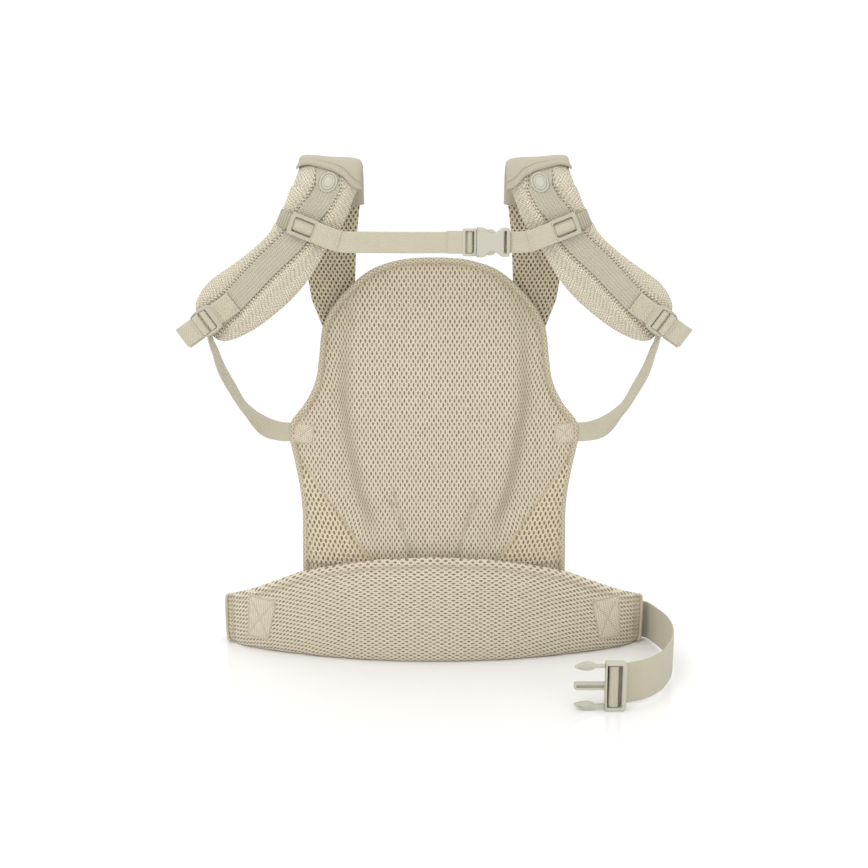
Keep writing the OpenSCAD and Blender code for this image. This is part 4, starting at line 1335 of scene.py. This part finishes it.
def make_waist(mats):
    loop = smooth_path(WAIST_LOOP + wing_path(205, 276)[::-1], 4)
    line = np.stack([loop[:, 0], loop[:, 1], WAIST_Z - 4 * step_up(loop[:, 1], -20, 70)], axis=1)
    build = sweep(line, (0, 0, 1), ribbon_profile(52, 1.6, 14))
    ride_as(build, "waist_web_right", [mats["webbing"]], "webbing", "wing_right")

    turned_back = [(275, 75.6), (281, 79.5), (280.6, 84), (272, 85.5), (261, 82), (251, 79.6)]
    loop = smooth_path(wing_path(205, 266) + turned_back, 4)
    line = np.stack([loop[:, 0], loop[:, 1], np.full(len(loop), float(WAIST_Z))], axis=1)
    build = sweep(line, (0, 0, 1), ribbon_profile(50, 1.6, 14))
    ride_as(build, "waist_web_left", [mats["webbing"]], "webbing", "wing_left", side=-1)

    place = facing((0, -144, WAIST_Z))
    build = Build()
    outline = rounded([(204, -31), (227, -31), (229.6, -27), (229.6, 27), (227, 31), (204, 31)],
                      [2, 5, 3, 3, 5, 2])
    plate(build, place, outline, [rounded(box(206.8, 224.2, -27, 27), 1.5)], -6, 6, 2)
    plate(build, place, rounded(box(211.2, 217.2, -28, 28), 1.5), [], -2.2, 2.2, 0.9)
    plate(build, place, rounded(box(166.8, 206, -4.6, 4.6), [3.8, 1, 1, 3.8]),
          [rounded(box(170, 203, -1.9, 1.9), 1.2)], -3, 3, 0.7)
    plate(build, place, rounded(box(168.5, 206, -2.6, 2.6), 1.5), [], -2.6, -0.4, 0.6)
    ride_as(build, "waist_buckle_male", [mats["plastic"]], "plastic", "waist_buckle")

    build = Build()
    ring = rounded(box(-6.4, 5.6, -4.3, 4.3), 3.6, 6)
    path = [(214.6, -144, z) for z in np.linspace(5.2, 56.8, 30)]
    ends = np.interp(np.arange(30), [0, 1, 28, 29], [0.93, 1, 1, 0.93])
    sweep(path, (1, 0, 0), ring, build, scale=ends)
    flat_strip(build, place, [(217.5, -3.2), (220.5, -5.2), (224, -6.9), (228.5, -7.7)], 51, 1.5)
    flat_strip(build, place, [(206.4, -4.9), (214, -5.1), (224.4, -4.9)], 54, 1.2)
    ride_as(build, "waist_web_wrap", [mats["webbing_side"]], "webbing", "waist_buckle")

    for where, sign in (("upper", 1), ("lower", -1)):
        arm = [(204, 23.6), (204, 27.2), (193, 27.4), (189.6, 30), (183, 31), (176, 29.4), (167.2, 24.6),
               (167.6, 23.2), (176, 20.8),
               (184, 20.2), (189.6, 21.6), (192.4, 24)]
        build = Build()
        plate(build, place, rounded([(a, sign * b) for a, b in arm], 1.8, 4), [], -3, 3, 1.1)
        ridge = rounded([(a, sign * b) for a, b in ((189, 25.6), (182, 28.6), (170, 24.4), (181, 22.4))],
                        1.4, 4)
        plate(build, place, ridge, [], -3.7, 3.7, 0.7)
        ride_as(build, "waist_prong_" + where, [mats["plastic"]], "plastic", "waist_arm_" + where)

    # socket half, hidden behind the left wing
    depth_last = np.array([[1, 0, 0], [0, 0, 1], [0, 1, 0]])
    back = lambda points: np.array([227, 79, WAIST_Z]) + np.array(points, float) @ depth_last
    half = [(-23, 24), (-20, 30.2), (-8, 30.6), (2, 27.5), (10, 25.8), (17, 28.6), (21.5, 30), (23, 26)]
    outline = smooth_path(half + [(a, -b) for a, b in half[::-1]], 2, closed=True)[:-1]
    build = Build()
    plate(build, back, outline, [rounded(box(15.4, 19.2, -25.4, 25.4), 1)], -6.8, 6.8, 2.2)
    ride_as(build, "waist_buckle_female", [mats["plastic"]], "plastic", "wing_left", side=-1)


def make_patch(mats, side, sign):
    """Plain oval rubber patch with a raised rim, sewn on the strap's webbing."""
    build = Build()
    rings = []
    groove_shades = []
    # each ring: relative radius, height, and how much painted shade falls on it in the grooves between the
    # raised rims and round the foot
    for radius, height, deep in ((0.0, 1.1, 0), (0.42, 1.15, 0), (0.5, 0.75, 0.9), (0.56, 0.75, 0.6),
                                 (0.62, 1.3, 0), (0.7, 1.3, 0), (0.75, 0.6, 1),
                                 (0.8, 0.6, 1), (0.85, 1.6, 0), (0.93, 1.7, 0), (0.98, 1.4, 0),
                                 (1.0, 0.8, 0.4), (1.0, 0.0, 1)):
        ring = []
        for a in np.linspace(0, 2 * math.pi, 48, endpoint=False):
            u = 10.6 * radius * math.cos(a)
            v = 12.8 * radius * math.sin(a)
            turn = math.radians(168) - v / FOLD_ARC
            r = 34.9 + height
            ring.append((122.5 + u - 0.15 * v, FOLD_Y + r * math.cos(turn), FOLD_Z + r * math.sin(turn)))
        rings.append(ring)
        groove_shades.append(deep)
    cloth = np.zeros((len(rings), 48, 3))
    cloth[..., 2] = np.array(groove_shades)[:, None]
    build.grid(settle(rings), cloth, wrap=True)
    ride_as(build, "strap_patch_" + side, [mats["rubber_patch"]], "rubber_patch", "strap_" + side,
            side=sign, weld=0.02)


# ---------- assembly ----------

def finish_cad(mats):
    """Shown CAD nodes get the slot's procedural material."""
    for name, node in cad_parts.items():
        if node.hide_render:
            continue
        slot = "plastic"
        if "patch" in name:
            slot = "rubber_patch"
        elif "elastic" in name:
            slot = "elastic"
        elif "web" in name or "side_strap" in name or "tab" in name:
            slot = "webbing"
        node.data.materials.clear()
        node.data.materials.append(mats[slot])


def main():
    add_camera()
    add_studio()
    mats = make_materials()
    make_panel(mats)
    make_belt(mats)
    for side, sign in SIDES:
        make_strap_back(mats, side, sign)
        make_pad(mats, side, sign)
        make_cap(mats, side, sign)
        make_strap_web(mats, side, sign)
        make_patch(mats, side, sign)
        make_side_strap(mats, side, sign)
        make_adjuster(mats, side, sign)
        make_slider(mats, side, sign)
    make_chest(mats)
    make_waist(mats)
    finish_cad(mats)


main()
